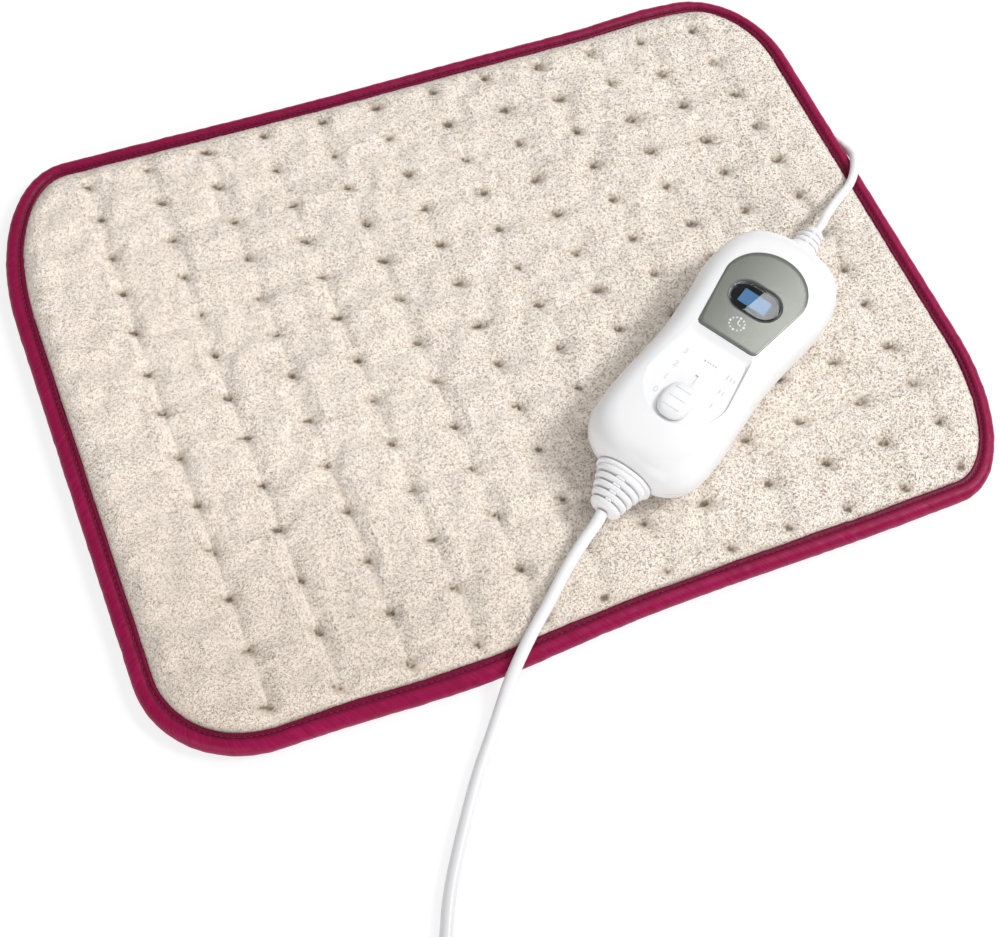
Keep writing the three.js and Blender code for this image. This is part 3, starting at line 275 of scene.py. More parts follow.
# A tube round a path, its rings carried along without twist.
def tubePoints(path, radius, sides):
    headings = unit(np.gradient(path, axis=0))
    heading = Vector(headings[0])
    across = heading.cross(Vector((0, 0, 1))).normalized()
    points = []
    for place, way in zip(path, headings):
        turned = Vector(way)
        across = heading.rotation_difference(turned) @ across
        across = (across - turned * across.dot(turned)).normalized()
        heading = turned
        above = across.cross(turned)
        points.extend(Vector(place) + radius * (a * across + b * above)
                      for a, b in roundPlaces(sides))
    return points


def ringsToFaces(rowCount, count, closed=False):
    faces = []
    for row in range(rowCount if closed else rowCount - 1):
        following = (row + 1) % rowCount
        for k in range(count):
            nextK = (k + 1) % count
            faces.append((row * count + k, row * count + nextK,
                          following * count + nextK, following * count + k))
    if not closed:
        faces.append(tuple(reversed(range(count))))
        faces.append(tuple((rowCount - 1) * count + k for k in range(count)))
    return faces


def tubePiece(name, path, data):
    points = tubePoints(path, data["diameter"] / 2, data["sides"])
    piece = meshPiece(name, points, ringsToFaces(len(path), data["sides"]))
    recalculate(piece)
    smooth(piece, 50)
    return piece


# Finishes

class Signal:
    def __init__(self, finish, socket):
        self.finish = finish
        self.socket = socket

    def withNumber(self, operation, first, second):
        return self.finish.node("Math", {"operation": operation}, {0: first, 1: second})

    def __add__(self, other):
        return self.withNumber("ADD", self, other)

    def __sub__(self, other):
        return self.withNumber("SUBTRACT", self, other)

    def __rsub__(self, other):
        return self.withNumber("SUBTRACT", other, self)

    def __mul__(self, other):
        return self.withNumber("MULTIPLY", self, other)

    def __lt__(self, other):
        return self.withNumber("LESS_THAN", self, other)

    __radd__ = __add__
    __rmul__ = __mul__


class Finish:
    def __init__(self, name):
        self.material = bpy.data.materials.new(name)
        self.material.use_nodes = True
        self.tree = self.material.node_tree
        self.tree.nodes.clear()
        self.place = self.node("TexCoord", output="Object")

    def node(self, kind, settings=None, inputs=None, output=0):
        made = self.tree.nodes.new("ShaderNode" + kind)
        for key, value in (settings or {}).items():
            if key == "stops":
                self.setStops(made.color_ramp, value)
            else:
                setattr(made, key, value)
        for key, value in (inputs or {}).items():
            if isinstance(value, Signal):
                self.tree.links.new(value.socket, made.inputs[key])
            else:
                made.inputs[key].default_value = value
        return None if output is None else Signal(self, made.outputs[output])

    def setStops(self, ramp, stops):
        while len(ramp.elements) < len(stops):
            ramp.elements.new(1)
        for element, (place, level) in zip(ramp.elements, stops):
            element.position = place
            element.color = (*level, 1) if hasattr(level, "__len__") else (level,) * 3 + (1,)

    def ramp(self, value, *stops):
        return self.node("ValToRGB", {"stops": stops}, {"Fac": value})

    def noise(self, scale, detail=2, roughness=0.5, at=None, distortion=0):
        return self.node("TexNoise", {}, {
            "Vector": at or self.place, "Scale": scale, "Detail": detail, "Roughness": roughness,
            "Distortion": distortion})

    # The same place, drawn out along Z so that noise over it turns into long streaks.
    def drawnOut(self, share, at=None):
        return self.node("Mapping", {}, {"Vector": at or self.place, "Scale": (1, 1, share)})

    def attribute(self, name, output="Fac"):
        return self.node("Attribute", {"attribute_name": name}, {}, output)

    def blend(self, share, first, second):
        return self.node("Mix", {"data_type": "RGBA"}, {0: share, 6: first, 7: second}, 2)

    def clamp(self, value):
        return self.node("Clamp", {}, {0: value})

    def axis(self, vector, letter):
        return self.node("SeparateXYZ", {}, {0: vector}, letter)

    def bump(self, height, distance, strength, under=None):
        inputs = {"Height": height, "Distance": distance, "Strength": strength}
        if under:
            inputs["Normal"] = under
        return self.node("Bump", {}, inputs)

    def close(self, shader):
        self.node("OutputMaterial", {}, {"Surface": shader}, None)
        return self.material

    def surface(self, **inputs):
        named = {key.replace("_", " "): value for key, value in inputs.items()}
        return self.close(self.node("BsdfPrincipled", {}, named))


white = (1, 1, 1, 1)


def colour(red, green, blue):
    return (red, green, blue, 1)


def darker(tone, share):
    return colour(*(channel * share for channel in tone[:3]))


# Soft white cord sheath: a faint long waviness, handling marks, and painted shade that greys it
# towards the front.
def sheathFinish():
    finish = Finish("cordSheath")
    marks = finish.noise(60, 3)
    shade = finish.blend(marks, colour(0.80, 0.80, 0.81), colour(0.85, 0.85, 0.855))
    # Painted shade: the sheath greys towards the front (-Y), where the light falls off.
    paintedShadeToFront = finish.clamp(finish.axis(finish.place, "Y") * -5 - 0.6)
    shade = finish.blend(paintedShadeToFront, shade, colour(0.58, 0.58, 0.60))
    rough = finish.noise(300, 2) * 0.16 + 0.32
    waves = finish.bump(finish.noise(220, 2), 0.0002, 0.35)
    return finish.surface(Base_Color=shade, Roughness=rough, Normal=waves)


# Glossy injection moulding: a low swirl in the gloss and a fine skin.
def mouldedFinish(name, tone, gloss=0.22, skin=0.00003):
    finish = Finish(name)
    shade = finish.blend(finish.noise(9), darker(tone, 0.965), tone)
    rough = finish.noise(45, 3) * 0.1 + (gloss - 0.05)
    fine = finish.bump(finish.noise(900, 2), skin, 0.5)
    return finish.surface(Base_Color=shade, Roughness=rough, Normal=fine)


# Matt moulding with a spark-eroded grain.
def grainedFinish(name, tone, roughness=0.5, grain=2500, depth=0.00005):
    finish = Finish(name)
    specks = finish.noise(grain)
    shade = finish.blend(specks, darker(tone, 0.9), tone)
    rough = finish.noise(grain / 8) * 0.16 + (roughness - 0.08)
    return finish.surface(
        Base_Color=shade, Roughness=rough, Normal=finish.bump(specks, depth, 0.6))


def metalFinish(name, tone, roughness=0.25, grain=1500):
    finish = Finish(name)
    scratches = finish.noise(grain, 3, 0.6, finish.drawnOut(0.1))
    shade = finish.blend(scratches, darker(tone, 0.8), tone)
    rough = scratches * 0.2 + (roughness - 0.1)
    return finish.surface(Base_Color=shade, Metallic=1.0, Roughness=rough,
                          Normal=finish.bump(scratches, 0.00002, 0.4))


# Two tones mixed by one fine noise, which may drive the gloss and the relief too.
def mixedFinish(name, grain, low, high, roughness, drift=0, depth=0, **constants):
    finish = Finish(name)
    specks = finish.noise(grain)
    if depth:
        constants["Normal"] = finish.bump(specks, depth, 0.8)
    if drift:
        roughness = specks * drift + roughness
    return finish.surface(Base_Color=finish.blend(specks, low, high), Roughness=roughness,
                          **constants)


# Cords

cordSheath = sheathFinish()

mainsLead = {
    "diameter": 0.0052,
    "sides": 20,
    "tip": (0.00117, -0.1071, 0.0206),
    "route": [
        (-0.0026, -0.1102, 0.0193), (-0.0107, -0.1154, 0.0174), (-0.0226, -0.1244, 0.0159),
        (-0.0346, -0.1348, 0.0144), (-0.0444, -0.1428, 0.0126), (-0.0514, -0.149, 0.0114),
        (-0.0569, -0.1542, 0.0096), (-0.0616, -0.159, 0.0069), (-0.0666, -0.1648, 0.0045),
        (-0.0748, -0.1745, 0.0029), (-0.0847, -0.1859, 0.0027), (-0.0934, -0.1973, 0.0027),
        (-0.1016, -0.2087, 0.0027), (-0.1093, -0.22, 0.0027), (-0.115, -0.2296, 0.0027),
        (-0.1202, -0.2402, 0.0027), (-0.1264, -0.2523, 0.0027), (-0.133, -0.2644, 0.0029),
        (-0.1391, -0.2772, 0.0033),
    ],
    "tail": [
        (-0.1314, -0.2767, 0.021), (-0.1406, -0.2781, 0.019), (-0.15, -0.2798, 0.0158),
        (-0.1596, -0.2828, 0.0123), (-0.1682, -0.2886, 0.0094), (-0.1747, -0.2982, 0.0077),
    ],
    "end": (-0.177, -0.3093, 0.0072),
    "perSpan": 6,
}

leadCoil = {
    "middle": (-0.1161, -0.3109),
    "innerRadius": 0.023,
    "pitch": 0.00585,
    "layers": 4,
    "turns": 8.84,
    "startAngle": math.radians(154.5),
    "bottom": 0.001,
    "stepsPerTurn": 48,
}

padLead = {
    "diameter": 0.0042,
    "sides": 20,
    "tip": (0.1509, -0.013, 0.0246),
    "route": [
        (0.1562, -0.0096, 0.0249), (0.1614, -0.0052, 0.0237), (0.1682, -0.0001, 0.0213),
        (0.1764, 0.0056, 0.0186), (0.1842, 0.0108, 0.0156), (0.1904, 0.0162, 0.013),
        (0.1953, 0.0218, 0.0115), (0.199, 0.0274, 0.01), (0.2016, 0.0318, 0.0074),
        (0.2028, 0.0356, 0.0054), (0.2031, 0.0392, 0.0039),
    ],
    "end": (0.2021, 0.0442, 0.0035),
    "perSpan": 8,
}


# Four layers of turns that spiral in and out again, and climb where they reverse.
def coilPath(coil, diameter):
    perLayer = coil["turns"] / coil["layers"]
    outer = coil["innerRadius"] + coil["pitch"] * perLayer
    steps = round(coil["turns"] * coil["stepsPerTurn"])
    points = []
    for i in range(steps + 1):
        turn = coil["turns"] * i / steps
        layer = min(int(turn / perLayer), coil["layers"] - 1)
        within = turn / perLayer - layer
        inward = within if layer % 2 == 0 else 1 - within
        radius = outer - (outer - coil["innerRadius"]) * inward
        level = sum(min(max((turn - change * perLayer) * 2 + 0.5, 0), 1)
                    for change in range(1, coil["layers"]))
        angle = coil["startAngle"] + turn * fullTurn
        points.append((coil["middle"][0] + radius * math.cos(angle),
                       coil["middle"][1] + radius * math.sin(angle),
                       coil["bottom"] + diameter / 2 + level * coil["pitch"]))
    return np.array(points)


def leadPath():
    coil = coilPath(leadCoil, mainsLead["diameter"])
    entry = coil[0] - unit(coil[1] - coil[0]) * mainsLead["diameter"]
    leaving = coil[-1] + unit(coil[-1] - coil[-2]) * mainsLead["diameter"]
    first = centripetal([mainsLead["tip"], *mainsLead["route"], entry], mainsLead["perSpan"])
    last = centripetal([leaving, *mainsLead["tail"], mainsLead["end"]], mainsLead["perSpan"])
    return np.vstack([first, coil, last])


mainsPath = leadPath()
mainsCord = tubePiece("mains_lead_sheath", mainsPath, mainsLead)
finishPiece(mainsCord, cordSheath,
            ("mains_cord", "mains_cord_coil", "mains_cord_tail"))

padPath = centripetal([padLead["tip"], *padLead["route"], padLead["end"]], padLead["perSpan"])
padCord = tubePiece("pad_lead_sheath", padPath, padLead)
finishPiece(padCord, cordSheath, ("pad_cord",))
print("cords laid", round(pathLength(mainsPath), 3), round(pathLength(padPath), 3))


# Pad

pad = {
    "length": 0.4,
    "width": 0.3,
    "corners": {(1, 1): (0.040, 0.050), (-1, 1): (0.042, 0.079),
                (-1, -1): (0.047, 0.044), (1, -1): (0.040, 0.075)},
    "bows": [(-1, -0.070, 0.052, 0.0040), (-1, 0.115, 0.06, 0.0012), (1, -0.04, 0.07, -0.0012),
             (1, 0.142, 0.025, 0.0022)],
    "coverInset": 0.0082,
    "base": 0.0073,
    "crown": 0.0119,
    "shoulder": 0.0085,
    "edge": 0.0064,
    "weld": 0.00005,
}

# The sewn lattice, and how the soft cloth lets it lean and belly
tufts = {
    "columns": 12,
    "rows": 13,
    "pitchX": 0.0288,
    "pitchY": 0.0221,
    "shiftX": 0.0043,
    "shiftY": 0.0007,
    "leanX": (0.0006, -0.0007, -0.0019, -0.0020),
    "leanY": (0.0006, -0.0044, 0.0022, -0.0018, -0.0036, -0.0028, 0.0026),
    "wander": 0.0010,
    "turn": math.radians(-22),
    "turnSpread": 0.3,
    "groove": (0.0005, 0.0010),
    "grooveHalf": 0.0046,
    "dimple": 0.0012,
    "dimpleRadius": 0.0040,
    "cleft": 0.0006,
    "cleftHalf": 0.0017,
    "pinch": 0.0014,
    "pinchHalf": (0.0028, 0.0016),
    "crease": 0.0007,
    "creaseHalf": (0.0066, 0.0014),
    "markHalf": (0.0018, 0.0010),
    "tailHalf": (0.0029, 0.0015),
    "tailAt": -0.0027,
    "tailShare": 0.42,
    "tailDrop": 0.0011,
    "softer": 0.25,
    "wider": 0.45,
    "ragged": (0.35, 0.0035),
    "tailWider": 0.5,
    "bend": (24, 36),
    "strength": (0.82, 0.18),
    "widthSpread": 0.25,
    "rightwards": (0.5, 0.9, 0.35),
    "folded": (0.2, -0.75, -0.45),
}

plush = {
    "spacing": 0.00118,
    "skirt": 0.0012,
    "simSpacing": 0.0032,
    "cloth": {
        "quality": 6, "mass": 0.15, "vertex_group_mass": "sewn", "shrink_min": -0.05,
        "use_pressure": True, "uniform_pressure_force": 1.6, "bending_stiffness": 0.4,
    },
    "frames": 20,
    "startLower": 0.0006,
    "startSwell": (0.0004, 0.02),
    "blownShare": 0.4,
    "cap": 0.0022,
    "swells": [(0.00012, 0.024), (0.00006, 0.009)],
    "roundness": 0.75,
    "slopeStep": 0.0008,
    "bodyTone": 0.5,
    "bodyLift": 0.25,
    "bodyMarkAndShade": 1.15,
    "rimCreaseShade": (0.5, 0.0007),
    "seed": 7,
}

# The pile's fibres: the way they lie, how far they lean, and their own differences
fibres = {
    "spacing": 0.00069,
    "length": 0.00088,
    "width": 0.00047,
    "jitter": 0.6,
    "overhang": 0.0006,
    "nap": -quarterTurn - 0.3,
    "napWaves": [(0.8, 0.10), (0.3, 0.03)],
    "napSpread": 1.1,
    "combed": (1.4, 0.0048),
    "lean": (1.31, 0.13),
    "leanLimits": (0.7, 1.48),
    "lengths": (0.65, 1.35),
    "widths": (0.75, 1.25),
    "sunk": 0.0002,
    "tipLift": 0.00015,
    "thickness": 0.6,
    "facingLean": 0.08,
    "facingSpread": 0.1,
    "speckShare": (0.05, 0.10),
    "speckDepth": (0.3, 1),
    "markAndShadeDepth": (0.3, 1.5),
    "shorterAtMarks": 0.35,
    "lifts": (0.0, 0.0, 0.6, 1.0),
}


# The front and back edges bow a little: side, place along the edge, reach, and how far.
def bowed(points):
    x, y = points[..., 0].copy(), points[..., 1].copy()
    for side, at, reach, out in pad["bows"]:
        near = np.clip(2 * side * y / pad["width"], 0, 1) ** 3
        points[..., 1] += side * out * near * np.exp(-((x - at) / reach) ** 2)
    return points


# The sewn corners differ: each quarter of the pad has its own two radii.
def cornerRadii(x, y):
    corners = pad["corners"]
    return [np.where(x > 0, np.where(y > 0, corners[(1, 1)][k], corners[(1, -1)][k]),
                     np.where(y > 0, corners[(-1, 1)][k], corners[(-1, -1)][k]))
            for k in (0, 1)]


def depthInside(x, y, inset):
    acrossX, acrossY = cornerRadii(x, y)
    a = np.maximum(np.abs(x) - (pad["length"] / 2 - acrossX), 0) / (acrossX - inset)
    b = np.maximum(np.abs(y) - (pad["width"] / 2 - acrossY), 0) / (acrossY - inset)
    reach = np.hypot(a, b)
    slope = np.hypot(a / (acrossX - inset), b / (acrossY - inset))
    rounded = (1 - reach) * reach / np.maximum(slope, 1e-9)
    straight = np.minimum(pad["length"] / 2 - np.abs(x), pad["width"] / 2 - np.abs(y)) - inset
    return np.where((a > 0) & (b > 0), rounded, straight)


# Moves what lies outside the rounded outline onto it.
def onOutline(x, y, inset):
    acrossX, acrossY = cornerRadii(x, y)
    cornerX, cornerY = pad["length"] / 2 - acrossX, pad["width"] / 2 - acrossY
    nearX, nearY = np.clip(x, -cornerX, cornerX), np.clip(y, -cornerY, cornerY)
    reach = np.hypot((x - nearX) / (acrossX - inset), (y - nearY) / (acrossY - inset))
    share = np.where(reach > 1, 1 / np.maximum(reach, 1e-9), 1)
    return nearX + (x - nearX) * share, nearY + (y - nearY) * share


# Where a point lies in the lattice: -1 to 1 over the columns and over the rows.
def latticeShare(x, y):
    s = (x - tufts["shiftX"]) / (tufts["pitchX"] * (tufts["columns"] - 1) / 2)
    t = (y - tufts["shiftY"]) / (tufts["pitchY"] * (tufts["rows"] - 1) / 2)
    return np.clip(s, -1.15, 1.15), np.clip(t, -1.15, 1.15)


# Distances to the nearest column and row, and which they are.
def latticePlace(x, y):
    s, t = latticeShare(x, y)
    driftX = sum(size * term for size, term in zip(tufts["leanX"], (1, t, s * t, s * t * t)))
    driftY = sum(size * term for size, term in zip(
        tufts["leanY"], (1, s, t, s * s, t * t, s * s * t, s * t * t)))
    columns = (x - driftX - tufts["shiftX"]) / tufts["pitchX"] + (tufts["columns"] - 1) / 2
    rows = (y - driftY - tufts["shiftY"]) / tufts["pitchY"] + (tufts["rows"] - 1) / 2
    column = np.clip(np.round(columns), 0, tufts["columns"] - 1).astype(int)
    row = np.clip(np.round(rows), 0, tufts["rows"] - 1).astype(int)
    return (columns - column) * tufts["pitchX"], (rows - row) * tufts["pitchY"], column, row


tuftDraw = np.random.RandomState(plush["seed"]).uniform(-1, 1, (6, tufts["columns"], tufts["rows"]))


# Each tuft has its own small shift, turn and bend, the same for every point near it.
def tuftPlace(x, y):
    acrossX, acrossY, column, row = latticePlace(x, y)
    shiftX, shiftY, turned, bent, strength, wide = tuftDraw[:, column, row]
    acrossX = acrossX - tufts["wander"] * shiftX
    acrossY = acrossY - tufts["wander"] * shiftY
    angle = tufts["turn"] + tufts["turnSpread"] * turned
    u = acrossX * np.cos(angle) + acrossY * np.sin(angle)
    v = acrossY * np.cos(angle) - acrossX * np.sin(angle)
    v = v - (tufts["bend"][0] + tufts["bend"][1] * bent) * u * np.abs(u)
    strength = tufts["strength"][0] + tufts["strength"][1] * strength
    return u, v, strength, 1 + tufts["widthSpread"] * wide


def bell(u, v, half, power=2):
    return np.exp(-np.hypot(u / half[0], v / half[1]) ** power)


# A share from 0 to 1 that rises across the lattice. It is rightwards, where the marks are
# wide and soft, or folded, towards the near left corner, where the folds are deeper.
def risingShare(kind, x, y):
    s, t = latticeShare(x, y)
    level, overX, overY = tufts[kind]
    return np.clip(level + overX * s + overY * t, 0, 1)


# The dark of the sewn spots: a short mark, partly the thread's darker colour and partly painted
# shade in the pinched pit, with a soft tail of painted pucker shade beside it.
def markAndShadeShare(x, y):
    u, v, strength, wide = tuftPlace(x, y)
    right = risingShare("rightwards", x, y)
    spread = wide * (1 + tufts["wider"] * right)
    mark = bell(u / spread, v, tufts["markHalf"], 3)
    tail = bell((u - tufts["tailAt"] * (1 - right)) / spread, v - tufts["tailDrop"] * right,
                (tufts["tailHalf"][0], tufts["tailHalf"][1] * (1 + tufts["tailWider"] * right)))
    share, size = tufts["ragged"]
    ragged = 1 + share * waveNoise(x, y, size, plush["seed"] + 5)
    mark = mark * strength * (1 - tufts["softer"] * right)
    return np.clip((mark + tail * tufts["tailShare"]) * ragged, 0, 1)


# Smooth seeded noise: a few random plane waves, the same on every run.
def waveNoise(x, y, size, seed, waves=14):
    draw = np.random.RandomState(seed)
    total = np.zeros_like(x)
    for _ in range(waves):
        angle, phase = draw.uniform(0, fullTurn, 2)
        stretch = draw.uniform(0.6, 1.7) * fullTurn / size
        total += np.sin((x * math.cos(angle) + y * math.sin(angle)) * stretch + phase)
    return total / math.sqrt(waves / 2)


def gridOver(inset, spacing):
    length, width = pad["length"] - 2 * inset, pad["width"] - 2 * inset
    countX, countY = round(length / spacing) + 1, round(width / spacing) + 1
    xs = np.linspace(-length / 2, length / 2, countX)
    ys = np.linspace(-width / 2, width / 2, countY)
    return np.meshgrid(xs, ys)


def gridFaces(shape, kept=slice(None), facingDown=False):
    index = np.arange(shape[0] * shape[1]).reshape(shape)
    corners = [index[:-1, :-1], index[:-1, 1:], index[1:, 1:], index[1:, :-1]]
    if facingDown:
        corners[1], corners[3] = corners[3], corners[1]
    return np.stack(corners, axis=-1)[kept].reshape(-1, 4).tolist()


# A sheet over the pad's rounded outline, with its points where a function puts them.
def outlinedSheet(name, inset, spacing, placesAt, facingDown=False):
    x, y = gridOver(inset, spacing)
    outside = depthInside(x, y, inset) < 0
    x, y = onOutline(x, y, inset)
    kept = ~(outside[:-1, :-1] & outside[:-1, 1:] & outside[1:, 1:] & outside[1:, :-1])
    points = placesAt(x, y).reshape(-1, 3)
    piece = meshPiece(name, points, gridFaces(x.shape, kept, facingDown))
    pickUp(piece)
    bpy.ops.object.mode_set(mode="EDIT")
    bpy.ops.mesh.select_all(action="SELECT")
    bpy.ops.mesh.remove_doubles(threshold=pad["weld"])
    bpy.ops.mesh.delete_loose()
    bpy.ops.object.mode_set(mode="OBJECT")
    return piece


# The quilted shape before the pile: grooves along the columns, a dimple at each tuft.
def plainHeights(x, y):
    acrossX, _, _, _ = latticePlace(x, y)
    u, v, strength, _ = tuftPlace(x, y)
    fold = risingShare("folded", x, y)
    deep = tufts["groove"][0] + tufts["groove"][1] * fold
    groove = (deep * np.exp(-(acrossX / tufts["grooveHalf"]) ** 2)
              + tufts["cleft"] * fold ** 2 * np.exp(-(acrossX / tufts["cleftHalf"]) ** 2))
    dimple = tufts["dimple"] * np.exp(-(np.hypot(u, v) / tufts["dimpleRadius"]) ** 2)
    return pad["crown"] - groove - dimple * strength


# The sheet is sewn down at its tufts and its edge, and air under it lifts the rest.
def blownHeights(spacing):
    x, y = gridOver(pad["coverInset"], spacing)
    u, v, _, _ = tuftPlace(x, y)
    inside = depthInside(x, y, pad["coverInset"])
    sewn = (np.hypot(u, v) < spacing * 0.75) | (inside < spacing)
    swell, size = plush["startSwell"]
    height = plainHeights(x, y) - plush["startLower"] + swell * waveNoise(x, y, size, plush["seed"])
    points = np.stack([x, y, height], axis=-1).reshape(-1, 3)
    sheet = meshPiece("sewnSheet", points, gridFaces(x.shape))
    pinned = sheet.vertex_groups.new(name="sewn")
    pinned.add(np.flatnonzero(sewn.ravel()).tolist(), 1.0, "REPLACE")
    pickUp(sheet)
    cloth = addModifier(sheet, "CLOTH")
    for key, value in plush["cloth"].items():
        setattr(cloth.settings, key, value)
    cloth.settings.effector_weights.gravity = 0
    cloth.collision_settings.use_collision = False
    cloth.point_cache.frame_end = plush["frames"]
    for step in range(1, plush["frames"] + 1):
        bpy.context.scene.frame_set(step)
    applyModifiers(sheet)
    heights = readPlaces(sheet)[:, 2].reshape(x.shape)
    bpy.data.objects.remove(sheet, do_unlink=True)
    return heights


def sampleGrid(values, x, y, inset):
    rows, columns = values.shape
    length, width = pad["length"] - 2 * inset, pad["width"] - 2 * inset
    fx = np.clip((x / length + 0.5) * (columns - 1), 0, columns - 1.001)
    fy = np.clip((y / width + 0.5) * (rows - 1), 0, rows - 1.001)
    i, j = fx.astype(int), fy.astype(int)
    u, v = fx - i, fy - j
    return ((values[j, i] * (1 - u) + values[j, i + 1] * u) * (1 - v)
            + (values[j + 1, i] * (1 - u) + values[j + 1, i + 1] * u) * v)


def plushHeights(x, y, blown):
    height = plainHeights(x, y)
    if blown is not None:
        lifted = sampleGrid(blown, x, y, pad["coverInset"])
        height = height + np.clip((lifted - height) * plush["blownShare"],
                                  -plush["cap"], plush["cap"])
    u, v, strength, wide = tuftPlace(x, y)
    height = height - strength * (tufts["pinch"] * bell(u / wide, v, tufts["pinchHalf"])
                                  + tufts["crease"] * bell(u / wide, v, tufts["creaseHalf"]))
    for index, (swell, size) in enumerate(plush["swells"], 1):
        height += swell * waveNoise(x, y, size, plush["seed"] + index)
    rise = np.clip(depthInside(x, y, pad["coverInset"]) / pad["shoulder"], 0, 1)
    rounded = np.sin(rise * quarterTurn) ** plush["roundness"]
    return pad["edge"] + (np.maximum(height, pad["base"]) - pad["edge"]) * rounded


def plushNormals(x, y, blown):
    step = plush["slopeStep"]
    height = plushHeights(x, y, blown)
    slopeX = (plushHeights(x + step, y, blown) - height) / step
    slopeY = (plushHeights(x, y + step, blown) - height) / step
    return height, unit(np.stack([-slopeX, -slopeY, np.ones_like(x)], axis=-1))


def plushBody(blown):
    piece = outlinedSheet("plush_pile_cover", pad["coverInset"], plush["spacing"],
                          lambda x, y: np.stack([x, y, plushHeights(x, y, blown)], axis=-1))
    bpy.ops.object.mode_set(mode="EDIT")
    bpy.ops.mesh.select_all(action="DESELECT")
    bpy.ops.mesh.select_mode(type="EDGE")
    bpy.ops.mesh.select_non_manifold(extend=False, use_wire=False, use_boundary=True,
                                     use_multi_face=False, use_non_contiguous=False,
                                     use_verts=False)
    bpy.ops.mesh.extrude_region_move(TRANSFORM_OT_translate={"value": (0, 0, -plush["skirt"])})
    bpy.ops.mesh.edge_face_add()
    bpy.ops.mesh.select_mode(type="VERT")
    bpy.ops.object.mode_set(mode="OBJECT")
    recalculate(piece)
    return piece


# The way the pile lies: brushed towards the front, combed in towards each tuft.
def napAngles(x, y, draw):
    nap = fibres["nap"] + draw.normal(0, fibres["napSpread"], len(x))
    for index, (turn, size) in enumerate(fibres["napWaves"], 3):
        nap += turn * waveNoise(x, y, size, plush["seed"] + index)
    u, v, _, _ = tuftPlace(x, y)
    strength, reach = fibres["combed"]
    around = strength * np.exp(-(np.hypot(u, v) / reach) ** 2)
    inward = np.arctan2(-v, -u) + tufts["turn"]
    return np.arctan2(np.sin(nap) + np.sin(inward) * around, np.cos(nap) + np.cos(inward) * around)


# The pile: short slanted tufts of fibre, each a slim closed spike.
def pileHairs(blown):
    draw = np.random.RandomState(plush["seed"])
    x, y = gridOver(pad["coverInset"] - fibres["overhang"], fibres["spacing"])
    jitter = fibres["jitter"]
    x = x + draw.uniform(-jitter, jitter, x.shape) * fibres["spacing"]
    y = y + draw.uniform(-jitter, jitter, x.shape) * fibres["spacing"]
    kept = depthInside(x, y, pad["coverInset"]) > fibres["sunk"]
    x, y = x[kept], y[kept]
    count = len(x)
    height, normal = plushNormals(x, y, blown)
    nap = napAngles(x, y, draw)
    flat = np.stack([np.cos(nap), np.sin(nap), np.zeros(count)], axis=1)
    flat = unit(flat - normal * (flat * normal).sum(axis=1, keepdims=True))
    lean, spread = fibres["lean"]
    lean = np.clip(draw.normal(0, spread, count) + lean, *fibres["leanLimits"])[:, None]
    # The tuft marks' share, part thread colour and part painted pit shade; the fibres there are
    # shorter too.
    stain = markAndShadeShare(x, y)
    length = fibres["length"] * draw.uniform(*fibres["lengths"], count)
    length *= 1 - fibres["shorterAtMarks"] * stain
    way = normal * np.cos(lean) + flat * np.sin(lean)
    side = unit(np.cross(way, normal))
    above = np.cross(side, way)
    root = np.stack([x, y, height], axis=1) - normal * fibres["sunk"]
    width = (fibres["width"] * draw.uniform(*fibres["widths"], count))[:, None]
    points = np.stack([root - side * width / 2, root + side * width / 2,
                       root + above * width * fibres["thickness"],
                       root + way * length[:, None] + normal * fibres["tipLift"]], axis=1)
    base = np.arange(count)[:, None, None] * 4
    low, high = fibres["speckShare"]
    share = low + (high - low) * risingShare("rightwards", x, y)
    speck = (draw.uniform(0, 1, count) < share) * draw.uniform(*fibres["speckDepth"], count)
    facing = unit(normal + flat * fibres["facingLean"]
                  + draw.normal(0, fibres["facingSpread"], (count, 3)))
    faces = base + np.array([[0, 1, 2], [0, 3, 1], [1, 3, 2], [2, 3, 0]])
    return bowed(points).reshape(-1, 3), faces.reshape(-1, 3), {
        "tone": np.repeat(draw.uniform(0, 1, count), 4),
        "lift": np.tile(fibres["lifts"], count),
        "stain": np.repeat(np.clip(stain * draw.uniform(*fibres["markAndShadeDepth"], count), 0, 1), 4),
        "speck": np.repeat(speck, 4),
        "facing": np.repeat(facing, 4, axis=0),
    }


def addAttribute(piece, name, values):
    values = np.asarray(values, dtype=np.float32)
    kind, field = ("FLOAT_VECTOR", "vector") if values.ndim == 2 else ("FLOAT", "value")
    layer = piece.data.attributes.new(name, kind, "POINT")
    layer.data.foreach_set(field, values.ravel())


def readPlaces(piece):
    places = np.empty(len(piece.data.vertices) * 3)
    piece.data.vertices.foreach_get("co", places)
    return places.reshape(-1, 3)


